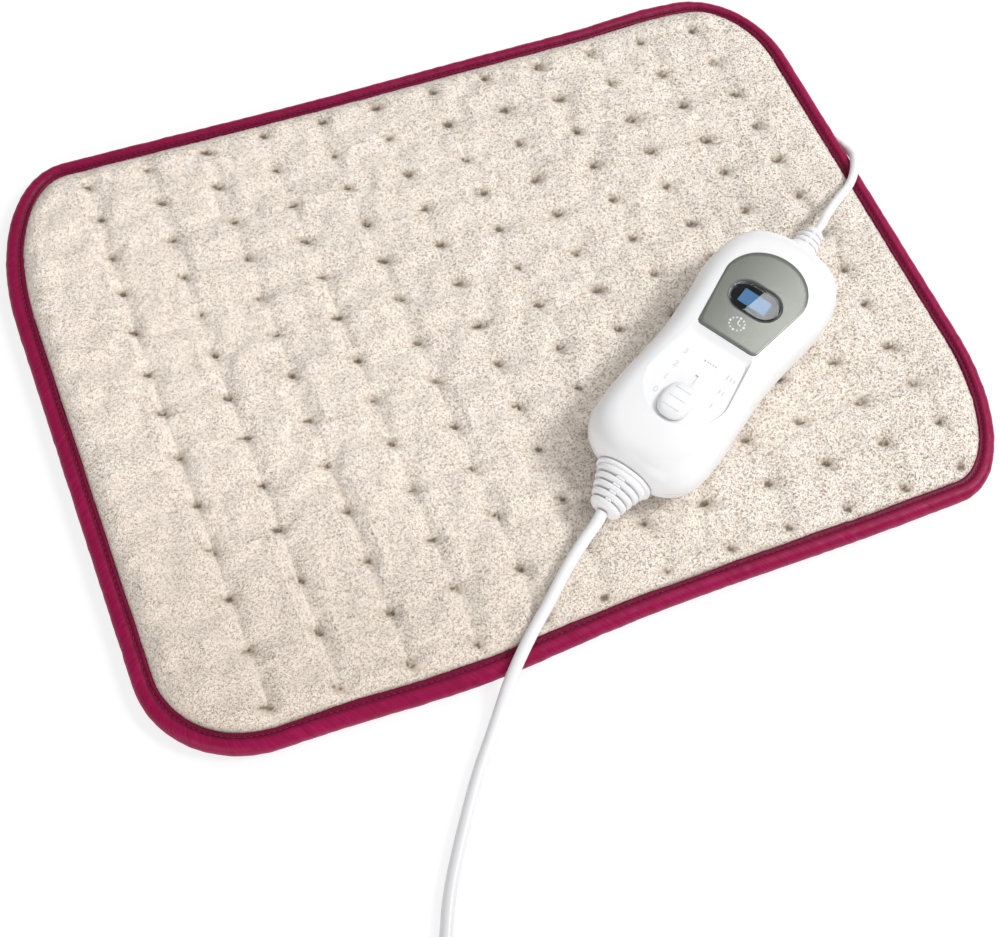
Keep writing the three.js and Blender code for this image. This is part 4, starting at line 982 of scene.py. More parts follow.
def makePlush():
    blown = blownHeights(plush["simSpacing"])
    body = plushBody(blown)
    places = readPlaces(body)
    x, y = places[:, 0], places[:, 1]
    _, facing = plushNormals(x, y, blown)
    # Painted shade: a thin dark line along the crease where the pile meets the binding.
    rimShade, reach = plush["rimCreaseShade"]
    rimShade = rimShade * np.exp(-(depthInside(x, y, pad["coverInset"]) / reach) ** 2)
    looks = {
        "tone": np.full(len(x), plush["bodyTone"]),
        "lift": np.full(len(x), plush["bodyLift"]),
        "stain": np.clip(markAndShadeShare(x, y) * plush["bodyMarkAndShade"] + rimShade, 0, 1),
        "speck": np.zeros(len(x)),
        "facing": facing,
    }
    body.data.vertices.foreach_set("co", bowed(places).ravel())
    smooth(body, 70)
    points, faces, hairLooks = pileHairs(blown)
    hairs = meshPiece("hairs", points, [])
    mesh = hairs.data
    mesh.loops.add(faces.size)
    mesh.polygons.add(len(faces))
    mesh.loops.foreach_set("vertex_index", faces.ravel().astype(np.int32))
    mesh.polygons.foreach_set("loop_start", np.arange(0, faces.size, 3, dtype=np.int32))
    mesh.update(calc_edges=True)
    for name in looks:
        addAttribute(body, name, looks[name])
        addAttribute(hairs, name, hairLooks[name])
    return joinPieces("plush_pile_cover", [body, hairs])


def plushFinish():
    finish = Finish("creamPlush")
    tone, lift, stain, speck = map(finish.attribute, ("tone", "lift", "stain", "speck"))
    acrossX, acrossY = (finish.axis(finish.place, letter) for letter in "XY")
    fade = finish.clamp(acrossX * 2.4 + finish.noise(24, 3) * 0.2 + 0.4)
    # Fibre roots and the body between the fibres are darker: painted shade where the pile shades
    # itself, weaker towards the left.
    root = finish.blend(fade, colour(0.88, 0.78, 0.67), colour(0.78, 0.68, 0.57))
    pale = finish.blend(fade, colour(1.0, 0.895, 0.81), colour(1.0, 0.955, 0.90))
    shade = finish.blend(finish.clamp(lift * 2.1), root, pale)
    # Painted shade: dark brown dashes in the gaps between fibre clumps, stronger towards the right.
    gaps = finish.ramp(finish.noise(1080, 1, distortion=0.6), (0.38, 1), (0.49, 0))
    # Painted shade darkening the pile towards the near left corner.
    paintedShadeNearLeft = finish.clamp(acrossX * -3 - acrossY * 6 - 0.55)
    for share, over in (
            (tone * 0.08, colour(0.76, 0.64, 0.52)),
            (speck * 0.8, colour(0.46, 0.36, 0.26)),
            (gaps * (fade * 0.6 + 0.4), colour(0.42, 0.32, 0.23)),
            (paintedShadeNearLeft * 0.45, colour(0.46, 0.38, 0.30)),
            # Tuft marks, part thread colour and part painted shade in the pits and puckers; by the
            # binding, painted crease shade.
            (finish.clamp(stain * 1.4), colour(0.42, 0.34, 0.26)),
            (finish.clamp(stain * 2.0 - 0.9), colour(0.17, 0.14, 0.105))):
        shade = finish.blend(share, shade, over)
    fuzz = finish.bump(finish.noise(1700), 0.0002, 0.5, finish.attribute("facing", "Vector"))
    return finish.surface(Base_Color=shade, Roughness=0.95, Sheen_Weight=0.15,
                          Sheen_Roughness=0.6, Normal=fuzz)


plushCover = makePlush()
finishPiece(plushCover, plushFinish(), ("plush_top_cover",))
print("plush made", len(plushCover.data.polygons))


# Bound edge

binding = {
    "section": [
        (7.2, 0.0), (5.2, 0.0), (3.2, 0.02), (1.7, 0.25), (0.75, 0.95), (0.2, 2.1), (0.0, 3.5),
        (0.08, 4.9), (0.5, 6.2), (1.3, 7.2), (2.5, 7.85), (3.8, 8.1), (5.0, 7.9), (5.75, 7.4),
        (6.15, 6.95), (6.5, 7.1), (7.0, 7.4), (7.7, 7.3), (8.25, 6.7), (8.4, 5.8), (8.4, 4.9),
        (7.6, 4.3), (5.0, 4.3), (2.1, 4.3), (2.1, 1.2), (5.0, 1.2), (8.0, 1.2), (8.4, 0.9),
        (8.3, 0.2),
    ],
    "unit": 0.001,
    "middle": (4.2, 4.2),
    "beadPoints": 20,
    "flatUpTo": 0.0005,
    "spacing": 0.0012,
    "pucker": 0.00005,
    "puckerCount": 26,
    "puckerWaves": (40, 260),
    "puckerSlant": 1.6,
    "slantReach": 0.004,
    "wander": 0.00022,
    "wanderWaves": (7, 13, 31),
    "wanderFrom": 5.0,
    "wanderOver": 3.4,
    "creaseAt": (6.15, 7.05),
    "threadSlant": 0.7,
    "stitchPitch": 0.0026,
    "stitchLength": 0.0017,
    "stitchWidth": 0.00042,
    "stitchSides": 6,
    "stitchSizes": (0.35, 0.95, 1.0, 0.95, 0.35),
    "stitchRise": 1.2,
    "seed": 21,
}


def outlinePoints(inset, spacing):
    places, ways = [], []
    for turn, ((sideX, sideY), (acrossX, acrossY)) in enumerate(pad["corners"].items()):
        x = sideX * (pad["length"] / 2 - acrossX)
        y = sideY * (pad["width"] / 2 - acrossY)
        count = max(2, round((acrossX + acrossY) / 2 * quarterTurn / spacing))
        for step in range(count + 1):
            angle = quarterTurn * (turn + step / count)
            ways.append((math.cos(angle) * acrossY, math.sin(angle) * acrossX))
            places.append((x + acrossX * math.cos(angle), y + acrossY * math.sin(angle)))
    places, ways = np.array(places), unit(np.array(ways))
    closedPlaces = np.vstack([places, places[:1]])
    closedWays = np.vstack([ways, ways[:1]])
    along = np.concatenate([[0], np.cumsum(np.linalg.norm(np.diff(closedPlaces, axis=0), axis=1))])
    total = round(along[-1] / spacing)
    stops = np.linspace(0, along[-1], total, endpoint=False)
    place = np.stack([np.interp(stops, along, closedPlaces[:, k]) for k in (0, 1)], axis=1)
    way = np.stack([np.interp(stops, along, closedWays[:, k]) for k in (0, 1)], axis=1)
    way = unit(way)
    return place - way * inset, way, stops


def makeBinding():
    place, way, stops = outlinePoints(0, binding["spacing"])
    total = stops[-1] + stops[1]
    section = np.array(binding["section"]) * binding["unit"]
    count = len(section)
    outward = unit(section - np.array(binding["middle"]) * binding["unit"])
    onBead = (section[:, 1] > binding["flatUpTo"]) & (np.arange(count) < binding["beadPoints"])
    angle = stops / total * fullTurn
    draw = np.random.RandomState(binding["seed"])
    pucker = np.zeros((len(stops), count))
    for _ in range(binding["puckerCount"]):
        wave = draw.randint(*binding["puckerWaves"])
        phase = draw.uniform(0, fullTurn)
        slant = draw.uniform(-binding["puckerSlant"], binding["puckerSlant"])
        pucker += np.sin(angle[:, None] * wave + phase
                         + slant * section[None, :, 1] / binding["slantReach"])
    pucker *= binding["pucker"] / math.sqrt(binding["puckerCount"] / 2) * onBead
    wander = binding["wander"] * sum(np.sin(angle * wave + draw.uniform(0, fullTurn))
                                     for wave in binding["wanderWaves"])
    points = np.zeros((len(stops), count, 3))
    offset = section[None, :, :] + outward[None] * pucker[:, :, None]
    inner = section[:, 0] / binding["unit"] - binding["wanderFrom"]
    inner = np.clip(inner / binding["wanderOver"], 0, 1) * onBead
    inset = offset[:, :, 0] + wander[:, None] * inner[None]
    points[:, :, :2] = place[:, None, :] - way[:, None, :] * inset[:, :, None]
    points[:, :, 2] = np.maximum(offset[:, :, 1], 0)
    piece = meshPiece("bound_edge_tape", bowed(points).reshape(-1, 3),
                      ringsToFaces(len(stops), count, closed=True))
    recalculate(piece)
    smooth(piece, 60)
    across = np.concatenate([[0], np.cumsum(np.linalg.norm(np.diff(section, axis=0), axis=1))])
    slanted = angle[:, None] + binding["threadSlant"] * across[None] * fullTurn / total
    along = np.stack([np.cos(slanted) * total / fullTurn, np.sin(slanted) * total / fullTurn,
                      np.broadcast_to(across, slanted.shape)], axis=-1)
    addAttribute(piece, "along", along.reshape(-1, 3))
    return piece


def stitchPoints(start, end, width):
    side = (end - start).cross(Vector((0, 0, 1))).normalized() * width / 2
    up = Vector((0, 0, width / 2))
    middle = (start + end) / 2 + up * binding["stitchRise"]
    stations = (start, start.lerp(middle, 0.5), middle, end.lerp(middle, 0.5), end)
    return [place + (side * a + up * b) * size
            for place, size in zip(stations, binding["stitchSizes"])
            for a, b in roundPlaces(binding["stitchSides"])]


def makeStitches():
    inset, height = (value * binding["unit"] for value in binding["creaseAt"])
    place, way, _ = outlinePoints(inset, binding["stitchPitch"])
    points, faces = [], []
    pattern = ringsToFaces(len(binding["stitchSizes"]), binding["stitchSides"])
    for centre, outward in zip(place, way):
        along = Vector((-outward[1], outward[0], 0)) * binding["stitchLength"] / 2
        middle = Vector((centre[0], centre[1], height))
        base = len(points)
        points.extend(stitchPoints(middle - along, middle + along, binding["stitchWidth"]))
        faces.extend(tuple(base + k for k in face) for face in pattern)
    piece = meshPiece("binding_stitches", bowed(np.array(points)), faces)
    recalculate(piece)
    smooth(piece, 60)
    return piece


# Ribbed woven tape: fine cords across it, with painted shade darkening the crease and the lip under
# the pile.
def bindingFinish():
    finish = Finish("burgundyTape")
    along = finish.attribute("along", "Vector")
    across = finish.axis(along, "Z")
    ribs = finish.ramp(finish.noise(950, at=finish.drawnOut(0.12, along)), (0.3, 0), (0.7, 1))
    cloud = finish.noise(70, 3)
    # Painted shade in the stitched crease and on the lip tucked under the pile.
    crease = finish.ramp(across * 40, (0.66, 0), (0.72, 1), (0.82, 1), (0.9, 0.35))
    dark = colour(0.085, 0.002, 0.016)
    main = colour(0.235, 0.003, 0.045)
    pale = colour(0.36, 0.008, 0.085)
    shade = finish.blend(cloud, main, finish.blend(ribs, main, pale))
    shade = finish.blend((1 - ribs) * 0.16, shade, dark)
    shade = finish.blend(crease * 0.6, shade, dark)
    return finish.surface(Base_Color=shade, Roughness=0.42, Specular_IOR_Level=0.14,
                          Normal=finish.bump(ribs, 0.00005, 0.8))


bindingTape = makeBinding()
finishPiece(bindingTape, bindingFinish(), ("edge_binding",))
stitches = makeStitches()
threadFinish = grainedFinish("burgundyThread", colour(0.20, 0.006, 0.045), 0.6, 3000, 0.0001)
finishPiece(stitches, threadFinish)
print("binding made")


# Underside cloth, sewn flat with shallow pulls at the tufts

underside = {
    "inset": 0.0082,
    "spacing": 0.0028,
    "top": 0.0015,
    "thickness": 0.0006,
    "pull": 0.0007,
    "pullRadius": 0.003,
    "groove": 0.00025,
    "grooveHalf": 0.004,
    "swell": (0.00012, 0.02),
    "seed": 33,
}


def undersidePlaces(x, y):
    acrossX, acrossY, _, _ = latticePlace(x, y)
    reach = np.hypot(acrossX, acrossY)
    swell, size = underside["swell"]
    height = (underside["pull"] * np.exp(-(reach / underside["pullRadius"]) ** 2)
              + underside["groove"] * np.exp(-(acrossX / underside["grooveHalf"]) ** 2)
              + swell * (1 + waveNoise(x, y, size, underside["seed"])))
    return bowed(np.stack([x, y, np.clip(height, 0, underside["top"])], axis=-1))


def makeUnderside():
    piece = outlinedSheet("underside_cloth", underside["inset"], underside["spacing"],
                          undersidePlaces, facingDown=True)
    addModifier(piece, "SOLIDIFY", thickness=underside["thickness"], offset=-1)
    applyModifiers(piece)
    recalculate(piece)
    smooth(piece, 60)
    return piece


def brushedClothFinish():
    finish = Finish("brushedCloth")
    pile = finish.noise(1500, 3, 0.6)
    cloud = finish.noise(30, 3)
    shade = finish.blend(cloud, colour(0.70, 0.62, 0.53), colour(0.80, 0.73, 0.65))
    shade = finish.blend(pile, colour(0.58, 0.50, 0.41), shade)
    return finish.surface(Base_Color=shade, Roughness=0.95, Sheen_Weight=0.2,
                          Sheen_Roughness=0.6, Normal=finish.bump(pile, 0.0006, 0.8))


undersideCloth = makeUnderside()
finishPiece(undersideCloth, brushedClothFinish(), ("bottom_cover",))
print("underside made")


# Controller

controller = {
    "place": (0.0769, -0.0587),
    "turn": math.radians(31.7),
    "halfLength": 0.0722,
    "halfWidth": 0.0302,
    "outline": [
        (1, 0), (0.983, 0.4), (0.914, 0.73), (0.776, 0.924), (0.554, 1), (0.222, 0.924),
        (-0.055, 0.881), (-0.332, 0.914), (-0.609, 0.94), (-0.817, 0.891), (-0.914, 0.758),
        (-0.985, 0.5), (-1, 0),
    ],
    "sides": 112,
    "domeSteps": 12,
    "bottom": 0.0123,
    "parting": 0.026,
    "gap": 0.00015,
    "partingRound": 0.0003,
    "face": 0.0394,
    "above": 0.042,
    "topEdge": 0.010,
    "bottomEdge": 0.012,
    "crown": 0.0004,
    "crownShares": (0.12, 0.28, 0.46, 0.66, 0.86),
    "hollowSteps": 6,
    "wall": 0.0022,
    "ceiling": 0.037,
    "floor": 0.0145,
    "screws": (0.057, 0.013),
    "bossRadius": 0.0042,
    "upperBoss": (0.0262, 0.0348),
    "upperHoles": [(0.0013, 0.02, 0.034, 20)],
    "lowerBoss": (0.0135, 0.0258),
    "lowerHoles": [(0.0016, 0.012, 0.03, 20), (0.0029, 0.010, 0.0171, 28)],
    "upperRounding": (0.00035, 3, 28),
    "lowerRounding": (0.00025, 2, 28),
}

controllerPlace = (Matrix.Translation((*controller["place"], 0))
                   @ Matrix.Rotation(controller["turn"], 4, "Z"))


def housingOutline():
    upper = controller["outline"]
    lower = [(u, -v) for u, v in reversed(upper[1:-1])]
    shares = np.array(upper + lower) * (controller["halfLength"], controller["halfWidth"])
    return evenly(centripetal(shares, 16, closed=True), controller["sides"], closed=True)


outline = housingOutline()


def housingRing(inset, height):
    shrink = (1 - inset / controller["halfLength"], 1 - inset / controller["halfWidth"])
    return [(u * shrink[0], v * shrink[1], height) for u, v in outline]


# An outline with a square near end and a half round far end.
def shield(near, wide, far, nearHalf, wideHalf, grow=0.0, radius=0.0025, count=96):
    way = 1 if far > wide else -1
    near, far = near - way * grow, far + way * grow
    nearHalf, wideHalf = nearHalf + grow, wideHalf + grow
    side = []
    for step in range(33):
        angle = quarterTurn * (1 - step / 32)
        side.append((wide + (far - wide) * math.cos(angle), wideHalf * math.sin(angle)))
    slant = np.array([wide - near, wideHalf - nearHalf])
    slant = slant / np.linalg.norm(slant)
    corner = np.array([near, nearHalf])
    bend = [(1 - t) ** 2 * (corner + (0, -radius)) + 2 * t * (1 - t) * corner
            + t ** 2 * (corner + slant * radius) for t in np.linspace(0, 1, 9)]
    half = [tuple(point) for point in bend] + side
    mirrored = [(u, -v) for u, v in reversed(half[:-1])]
    line = np.array([(u, v * way) for u, v in half + mirrored])
    return evenly(line, count, closed=True)


def layered(name, layers):
    return sweepRings(name, [[(u, v, height) for u, v in line] for line, height in layers])


def placeOnController(piece):
    return seat(piece, controllerPlace)


# Housing rings that round off inwards on the way from one height to another.
def roundedRings(start, end, startInset, endInset, steps):
    angles = [quarterTurn * step / steps for step in range(1, steps + 1)]
    return [housingRing(startInset + (endInset - startInset) * (1 - math.cos(angle)),
                        start + (end - start) * math.sin(angle)) for angle in angles]


# A half of the case, hollow, from the parting out to its end; way is 1 upwards, -1 downwards.
def halfShell(name, way, end, innerEnd, edge, crown=()):
    start = controller["parting"] + way * controller["gap"]
    fine, wall = controller["partingRound"], controller["wall"]
    shell = sweepRings(name, [
        housingRing(fine, start), housingRing(0, start + way * fine),
        *roundedRings(start, end, 0, edge, controller["domeSteps"]), *crown])
    combine(shell, [sweepRings("hollow", [
        housingRing(wall, start - way * 0.001), housingRing(wall, start),
        *roundedRings(start, innerEnd, wall, edge, controller["hollowSteps"])])])
    return shell


def upperShell():
    top, edge = controller["face"] - controller["crown"], controller["topEdge"]
    crown = [housingRing(edge + (controller["halfWidth"] - edge) * share,
                         top + controller["crown"] * (1 - (1 - share) ** 2))
             for share in controller["crownShares"]]
    return halfShell("upper_case", 1, top, controller["ceiling"], edge, crown)


# A boss at each screw, with the holes that run through it: radius, low, high and sides.
def addBosses(shell, boss, holes):
    acrossU, acrossV = controller["screws"]
    for u, v in ((-1, -1), (-1, 1), (1, -1), (1, 1)):
        place = (u * acrossU, v * acrossV)
        combine(shell, [addRound("boss", controller["bossRadius"], *boss, *place)], "UNION")
        for radius, low, high, sides in holes:
            combine(shell, [addRound("hole", radius, low, high, *place, sides)])


# Each shape gives a shield's near end, widest place, far end, and its near and wide halves.
recess = {
    "shape": (0.0015, -0.026, -0.047, 0.0145, 0.0185),
    "floor": 0.0376,
    "slope": 0.0008,
    "ramp": 0.0045,
    "tray": (0.0358, 0.0374),
    "trayWall": 0.0016,
    "slot": ((-0.0437, -0.0007, 0.03), (-0.0196, 0.0007, 0.042)),
    "shutterRoom": ((-0.0577, -0.0064, 0.034), (0.0039, 0.0064, 0.037)),
}

faceplate = {
    "shape": (0.0022, 0.0352, 0.0545, 0.0145, 0.0195),
    "pocket": 0.038,
    "bottom": 0.0385,
    "top": 0.0397,
    "edge": 0.0003,
    "gap": 0.0002,
    "crown": 0.0004,
}

window = {
    "middle": 0.0272,
    "halfU": 0.008,
    "halfV": 0.012,
    "ledge": 0.0015,
    "under": 0.034,
    "flare": (0.0003, 0.0010, 0.0005),
    "lens": [(0, 0.0385), (0, 0.0394), (-0.0001, 0.03954), (-0.00035, 0.03966),
             (-0.0007, 0.0397)],
    "mask": [(-0.0002, 0.03815), (-0.0002, 0.03835)],
    "maskOpening": ((0.0233, -0.0069, 0.037), (0.0311, 0.0069, 0.039)),
    "glass": ((0.0229, -0.0075, 0.0379), (0.0315, 0.0075, 0.0381)),
}


# The window's outline: two half rounds and the straight lines between them.
def windowLine(grow, count=64):
    radius = window["halfU"] + grow
    reach = window["halfV"] - window["halfU"]
    line = []
    for side, start in ((1, 0), (-1, math.pi)):
        for angle in np.linspace(start, start + math.pi, 25):
            line.append((window["middle"] + radius * math.cos(angle),
                         side * reach + radius * math.sin(angle)))
    return evenly(np.array(line), count, closed=True)


reliefs = {
    "start": 0.0722,
    "axis": 0.0235,
    "neck": (0.006, 0.004),
    "notch": (0.0062, 0.0042),
    "notchEnds": (0.0662, 0.0762),
    "sides": 96,
    "squareness": 0.88,
    "webBlend": 0.07,
    "collar": [
        (-0.004, "neck", 0), (-0.0005, "neck", 0), (-0.0004, "flange", 0.3),
        (0.0002, "flange", 0), (0.0012, "flange", 0), (0.0016, "flange", 0.12),
        (0.0017, "cone", 0.02),
    ],
    "boots": [
        {"name": "mains_lead_relief", "node": "mains_strain_relief", "way": -1, "length": 0.0173,
         "flange": (0.0133, 0.0088), "root": (0.0126, 0.0083), "tip": (0.0062, 0.0048),
         "rise": -0.003, "sway": -0.0014, "ribs": 5, "web": 0.16, "slotDepth": 0.0023,
         "slotShare": 0.26},
        {"name": "pad_lead_relief", "node": "pad_strain_relief", "way": 1, "length": 0.0153,
         "flange": (0.0094, 0.0074), "root": (0.0076, 0.0064), "tip": (0.0042, 0.0038),
         "rise": 0.0012, "sway": 0.0, "ribs": 4, "web": 0.12, "slotDepth": 0.0009,
         "slotShare": 0.18},
    ],
}


# The openings in the case's end walls that the strain reliefs' necks sit in.
def cutNotches(shell):
    wide, tall = reliefs["notch"]
    inner, outer = reliefs["notchEnds"]
    for low, high in ((-outer, -inner), (inner, outer)):
        combine(shell, [addBlock("notch", (low, -wide, reliefs["axis"] - tall),
                                 (high, wide, reliefs["axis"] + tall))])


# A ribbed boot: its grooves stop short at the webs on its top and bottom lines.
def reliefStations(data):
    stations = list(reliefs["collar"])
    first, last = stations[-1][0], data["length"]
    pitch = (last - first) / data["ribs"]
    half = pitch * data["slotShare"] / 2
    for rib in range(data["ribs"]):
        start, end = first + rib * pitch, first + (rib + 1) * pitch
        if rib:
            stations += [(start + half, "slot", 1), (start + half * 1.25, "cone", 0.25)]
        else:
            stations += [(start + pitch * 0.1, "cone", 0)]
        stations += [(start + pitch * 0.3, "cone", -0.12), (start + pitch * 0.55, "cone", -0.16)]
        if rib < data["ribs"] - 1:
            stations += [(end - pitch * 0.22, "cone", -0.02),
                         (end - half * 1.25, "cone", 0.25), (end - half, "slot", 1)]
        else:
            stations += [(end - pitch * 0.2, "cone", 0.05), (end - pitch * 0.06, "cone", 0.4),
                         (end, "end", 0.6)]
    return stations


def makeRelief(data):
    rings = []
    sides = reliefs["sides"]
    places = roundPlaces(sides, reliefs["squareness"], reliefs["squareness"])
    for place, kind, cut in reliefStations(data):
        share = min(max(place / data["length"], 0), 1)
        cone = [a + (b - a) * share for a, b in zip(data["root"], data["tip"])]
        half = {"neck": reliefs["neck"], "flange": data["flange"]}.get(kind, cone)
        ring = []
        for k, (a, b) in enumerate(places):
            fromWeb = abs(fullTurn * k / sides % math.pi - quarterTurn)
            besideWeb = min(max((fromWeb - data["web"]) / reliefs["webBlend"], 0), 1)
            depth = data["slotDepth"] * (besideWeb if kind == "slot" else cut)
            ring.append((data["way"] * (reliefs["start"] + place),
                         data["sway"] * share ** 2 + a * (half[0] - depth),
                         reliefs["axis"] + data["rise"] * share ** 2 + b * (half[1] - depth)))
        rings.append(ring)
    piece = sweepRings(data["name"], rings)
    softenEdges(piece, 0.00012, 1, 40)
    return placeOnController(piece)


def makeUpperCase():
    shell = upperShell()
    tray = layered("tray", [(shield(*recess["shape"], recess["trayWall"]), height)
                            for height in recess["tray"]])
    combine(shell, [tray], "UNION")
    near, *rest = recess["shape"]
    slope, face, above = recess["slope"], controller["face"], controller["above"]
    combine(shell, [
        layered("recessTool", [(shield(near - recess["ramp"], *rest), recess["floor"]),
                               (shield(near, *rest, slope), face),
                               (shield(near, *rest, slope * 2), face + 0.002)]),
        addBlock("shutterRoom", *recess["shutterRoom"]),
        addBlock("slotTool", *recess["slot"]),
        layered("pocketTool", [(shield(*faceplate["shape"], faceplate["gap"]), height)
                               for height in (faceplate["pocket"], above)]),
        windowLayers("openingTool", [(-window["ledge"], window["under"]),
                                     (-window["ledge"], above)])])
    cutNotches(shell)
    addBosses(shell, controller["upperBoss"], controller["upperHoles"])
    softenEdges(shell, *controller["upperRounding"])
    return placeOnController(shell)


def makeLowerCase():
    shell = halfShell("lower_case", -1, controller["bottom"], controller["floor"],
                      controller["bottomEdge"])
    cutNotches(shell)
    addBosses(shell, controller["lowerBoss"], controller["lowerHoles"])
    softenEdges(shell, *controller["lowerRounding"])
    return placeOnController(shell)


# The point of the window's outline in each direction from its middle.
def windowRing(ways, grow):
    low, high = np.zeros(len(ways)), np.full(len(ways), window["halfV"] * 2)
    reach = window["halfV"] - window["halfU"]
    for _ in range(40):
        far = (low + high) / 2
        points = ways * far[:, None]
        beyond = np.maximum(np.abs(points[:, 1]) - reach, 0)
        inside = np.hypot(points[:, 0], beyond) < window["halfU"] + grow
        low, high = np.where(inside, far, low), np.where(inside, high, far)
    return ways * low[:, None] + (window["middle"], 0)


# A satin plate, crowned across its width, swept from its edge to the window and back under.
def makeFaceplate():
    shape, wideHalf = faceplate["shape"], faceplate["shape"][-1]
    edge, top, bottom = faceplate["edge"], faceplate["top"], faceplate["bottom"]
    outer = shield(*shape, grow=-edge)
    ways = unit(outer - (window["middle"], 0))
    grow, flare, depth = window["flare"]
    inner = windowRing(ways, flare)
    layers = [(shield(*shape), bottom), (shield(*shape), top - edge),
              (shield(*shape, grow=-edge * 0.3), top - edge * 0.3)]
    layers += [(outer + (inner - outer) * share, top) for share in np.linspace(0, 1, 9)]
    layers += [(windowRing(ways, grow), top - depth), (windowRing(ways, grow), bottom)]
    plate = layered("face_plate_cover", layers)
    for vertex in plate.data.vertices:
        if vertex.co.z > bottom + edge:
            vertex.co.z -= faceplate["crown"] * (vertex.co.y / wideHalf) ** 2
    pickUp(plate)
    bpy.ops.object.mode_set(mode="EDIT")
    bpy.ops.mesh.select_mode(type="FACE")
    bpy.ops.mesh.select_all(action="DESELECT")
    bpy.ops.mesh.select_face_by_sides(number=4, type="GREATER")
    bpy.ops.mesh.delete(type="ONLY_FACE")
    bpy.ops.mesh.select_mode(type="EDGE")
    bpy.ops.mesh.select_non_manifold(extend=False)
    bpy.ops.mesh.bridge_edge_loops()
    bpy.ops.mesh.select_mode(type="VERT")
    bpy.ops.object.mode_set(mode="OBJECT")
    recalculate(plate)
    smooth(plate, 25)
    return placeOnController(plate)


def windowLayers(name, layers):
    return layered(name, [(windowLine(grow), height) for grow, height in layers])


# The lens: a clear flat moulding with a rounded edge.
def makeLens():
    lens = windowLayers("display_lens", window["lens"])
    smooth(lens, 60)
    addModifier(lens, "WEIGHTED_NORMAL", weight=100, keep_sharp=True)
    applyModifiers(lens)
    return placeOnController(lens)


# The black mask printed behind the lens, with its clear middle left open.
def makeMask():
    mask = windowLayers("display_mask", window["mask"])
    combine(mask, [addBlock("maskOpening", *window["maskOpening"])])
    return placeOnController(mask)


# The display's front glass, just under the mask.
def makeGlass():
    glass = addBlock("display_glass", *window["glass"])
    softenEdges(glass, 0.0001, 2, 30)
    return placeOnController(glass)


knob = {
    "middle": -0.0364,
    "halfU": 0.0092,
    "halfV": 0.0071,
    "bottom": 0.0379,
    "profile": [
        (-0.0004, 0.0), (0, 0.0003), (0, 0.0011), (-0.0002, 0.0018), (-0.0007, 0.0025),
        (-0.0014, 0.0029), (-0.0024, 0.0031), (-0.0045, 0.0032),
    ],
    "ridge": ((-0.00045, -0.0039, 0.0399), (0.00045, 0.0039, 0.04138)),
    "ridgePitch": 0.005,
    "stem": ((-0.0434, -0.0006, 0.0355), (-0.0404, 0.0006, 0.0385)),
    "shutter": ((-0.0565, -0.005, 0.0362), (-0.0176, 0.005, 0.03695)),
    "stemHole": ((-0.0435, -0.0007, 0.035), (-0.0403, 0.0007, 0.038)),
}


# The knob's outline, between an ellipse and a rectangle.
def knobLine(grow, count=72):
    halfU, halfV = knob["halfU"] + grow, knob["halfV"] + grow
    return evenly(np.array([(knob["middle"] + halfU * a, halfV * b)
                            for a, b in roundPlaces(count * 2, 0.8, 0.8)]), count, closed=True)


def makeKnob():
    body = layered("slide_knob", [(knobLine(grow), knob["bottom"] + rise)
                                  for grow, rise in knob["profile"]])
    ridges = []
    for index in (-1, 0, 1):
        ridge = addBlock("ridge", *knob["ridge"])
        seat(ridge, Matrix.Translation((knob["middle"] + index * knob["ridgePitch"], 0, 0)))
        softenEdges(ridge, 0.00034, 3, 30)
        ridges.append(ridge)
    combine(body, [*ridges, addBlock("stem", *knob["stem"])], "UNION")
    softenEdges(body, 0.0001, 2, 35)
    return placeOnController(body)


# A strip under the slot that travels with the knob and closes the slot behind it.
def makeShutter():
    shutter = addBlock("slot_shutter", *knob["shutter"])
    combine(shutter, [addBlock("stemHole", *knob["stemHole"])])
    softenEdges(shutter, 0.0001, 1, 30)
    return placeOnController(shutter)


# Printed marks: thin raised ink on the recess floor and the face plate

marks = {
    "thickness": 0.00006,
    "sunk": 0.00002,
    "digits": [("0", -0.0365), ("1", -0.0285), ("2", -0.0205), ("3", -0.0125)],
    "digitsAt": 0.0105,
    "digitSize": 0.0044,
    "bars": [(1, -0.0285), (2, -0.0205), (3, -0.0125)],
    "barsAt": -0.0125,
    "barWidth": 0.0007,
    "barLengths": (0.0022, 0.0026, 0.0030),
    "barPitch": 0.0017,
    "levelAt": -0.0113,
    "levelSpan": (-0.0046, -0.0006),
    "levelHalf": 0.0002,
    "levelDash": 0.0009,
    "levelDot": (0.00045, 0.0013),
    "clockAt": 0.0118,
    "clockRadius": 0.0034,
    "dotRadii": (0.0005625, 0.000405, 0.000405),
    "handHalf": 0.000225,
    "hands": (0.0023, 0.0018),
}


def inkBox(lowU, lowV, highU, highV, height):
    return addBlock("mark", (lowU, lowV, height - marks["thickness"] * 0.3),
                    (highU, highV, height + marks["thickness"]))


def inkDot(radius, u, v, height, sides):
    return addRound("mark", radius, height - marks["sunk"], height + marks["thickness"],
                    u, v, sides)


def inkDigit(text, u, v, size, height):
    clearSelection()
    bpy.ops.object.text_add()
    digit = bpy.context.object
    digit.data.body = text
    digit.data.size = size
    digit.data.align_x = "CENTER"
    digit.data.align_y = "CENTER"
    digit.data.extrude = marks["thickness"] / 2
    digit.data.resolution_u = 4
    bpy.ops.object.convert(target="MESH")
    return seat(digit, Matrix.Translation((u, v, height)) @ Matrix.Rotation(-quarterTurn, 4, "Z"))


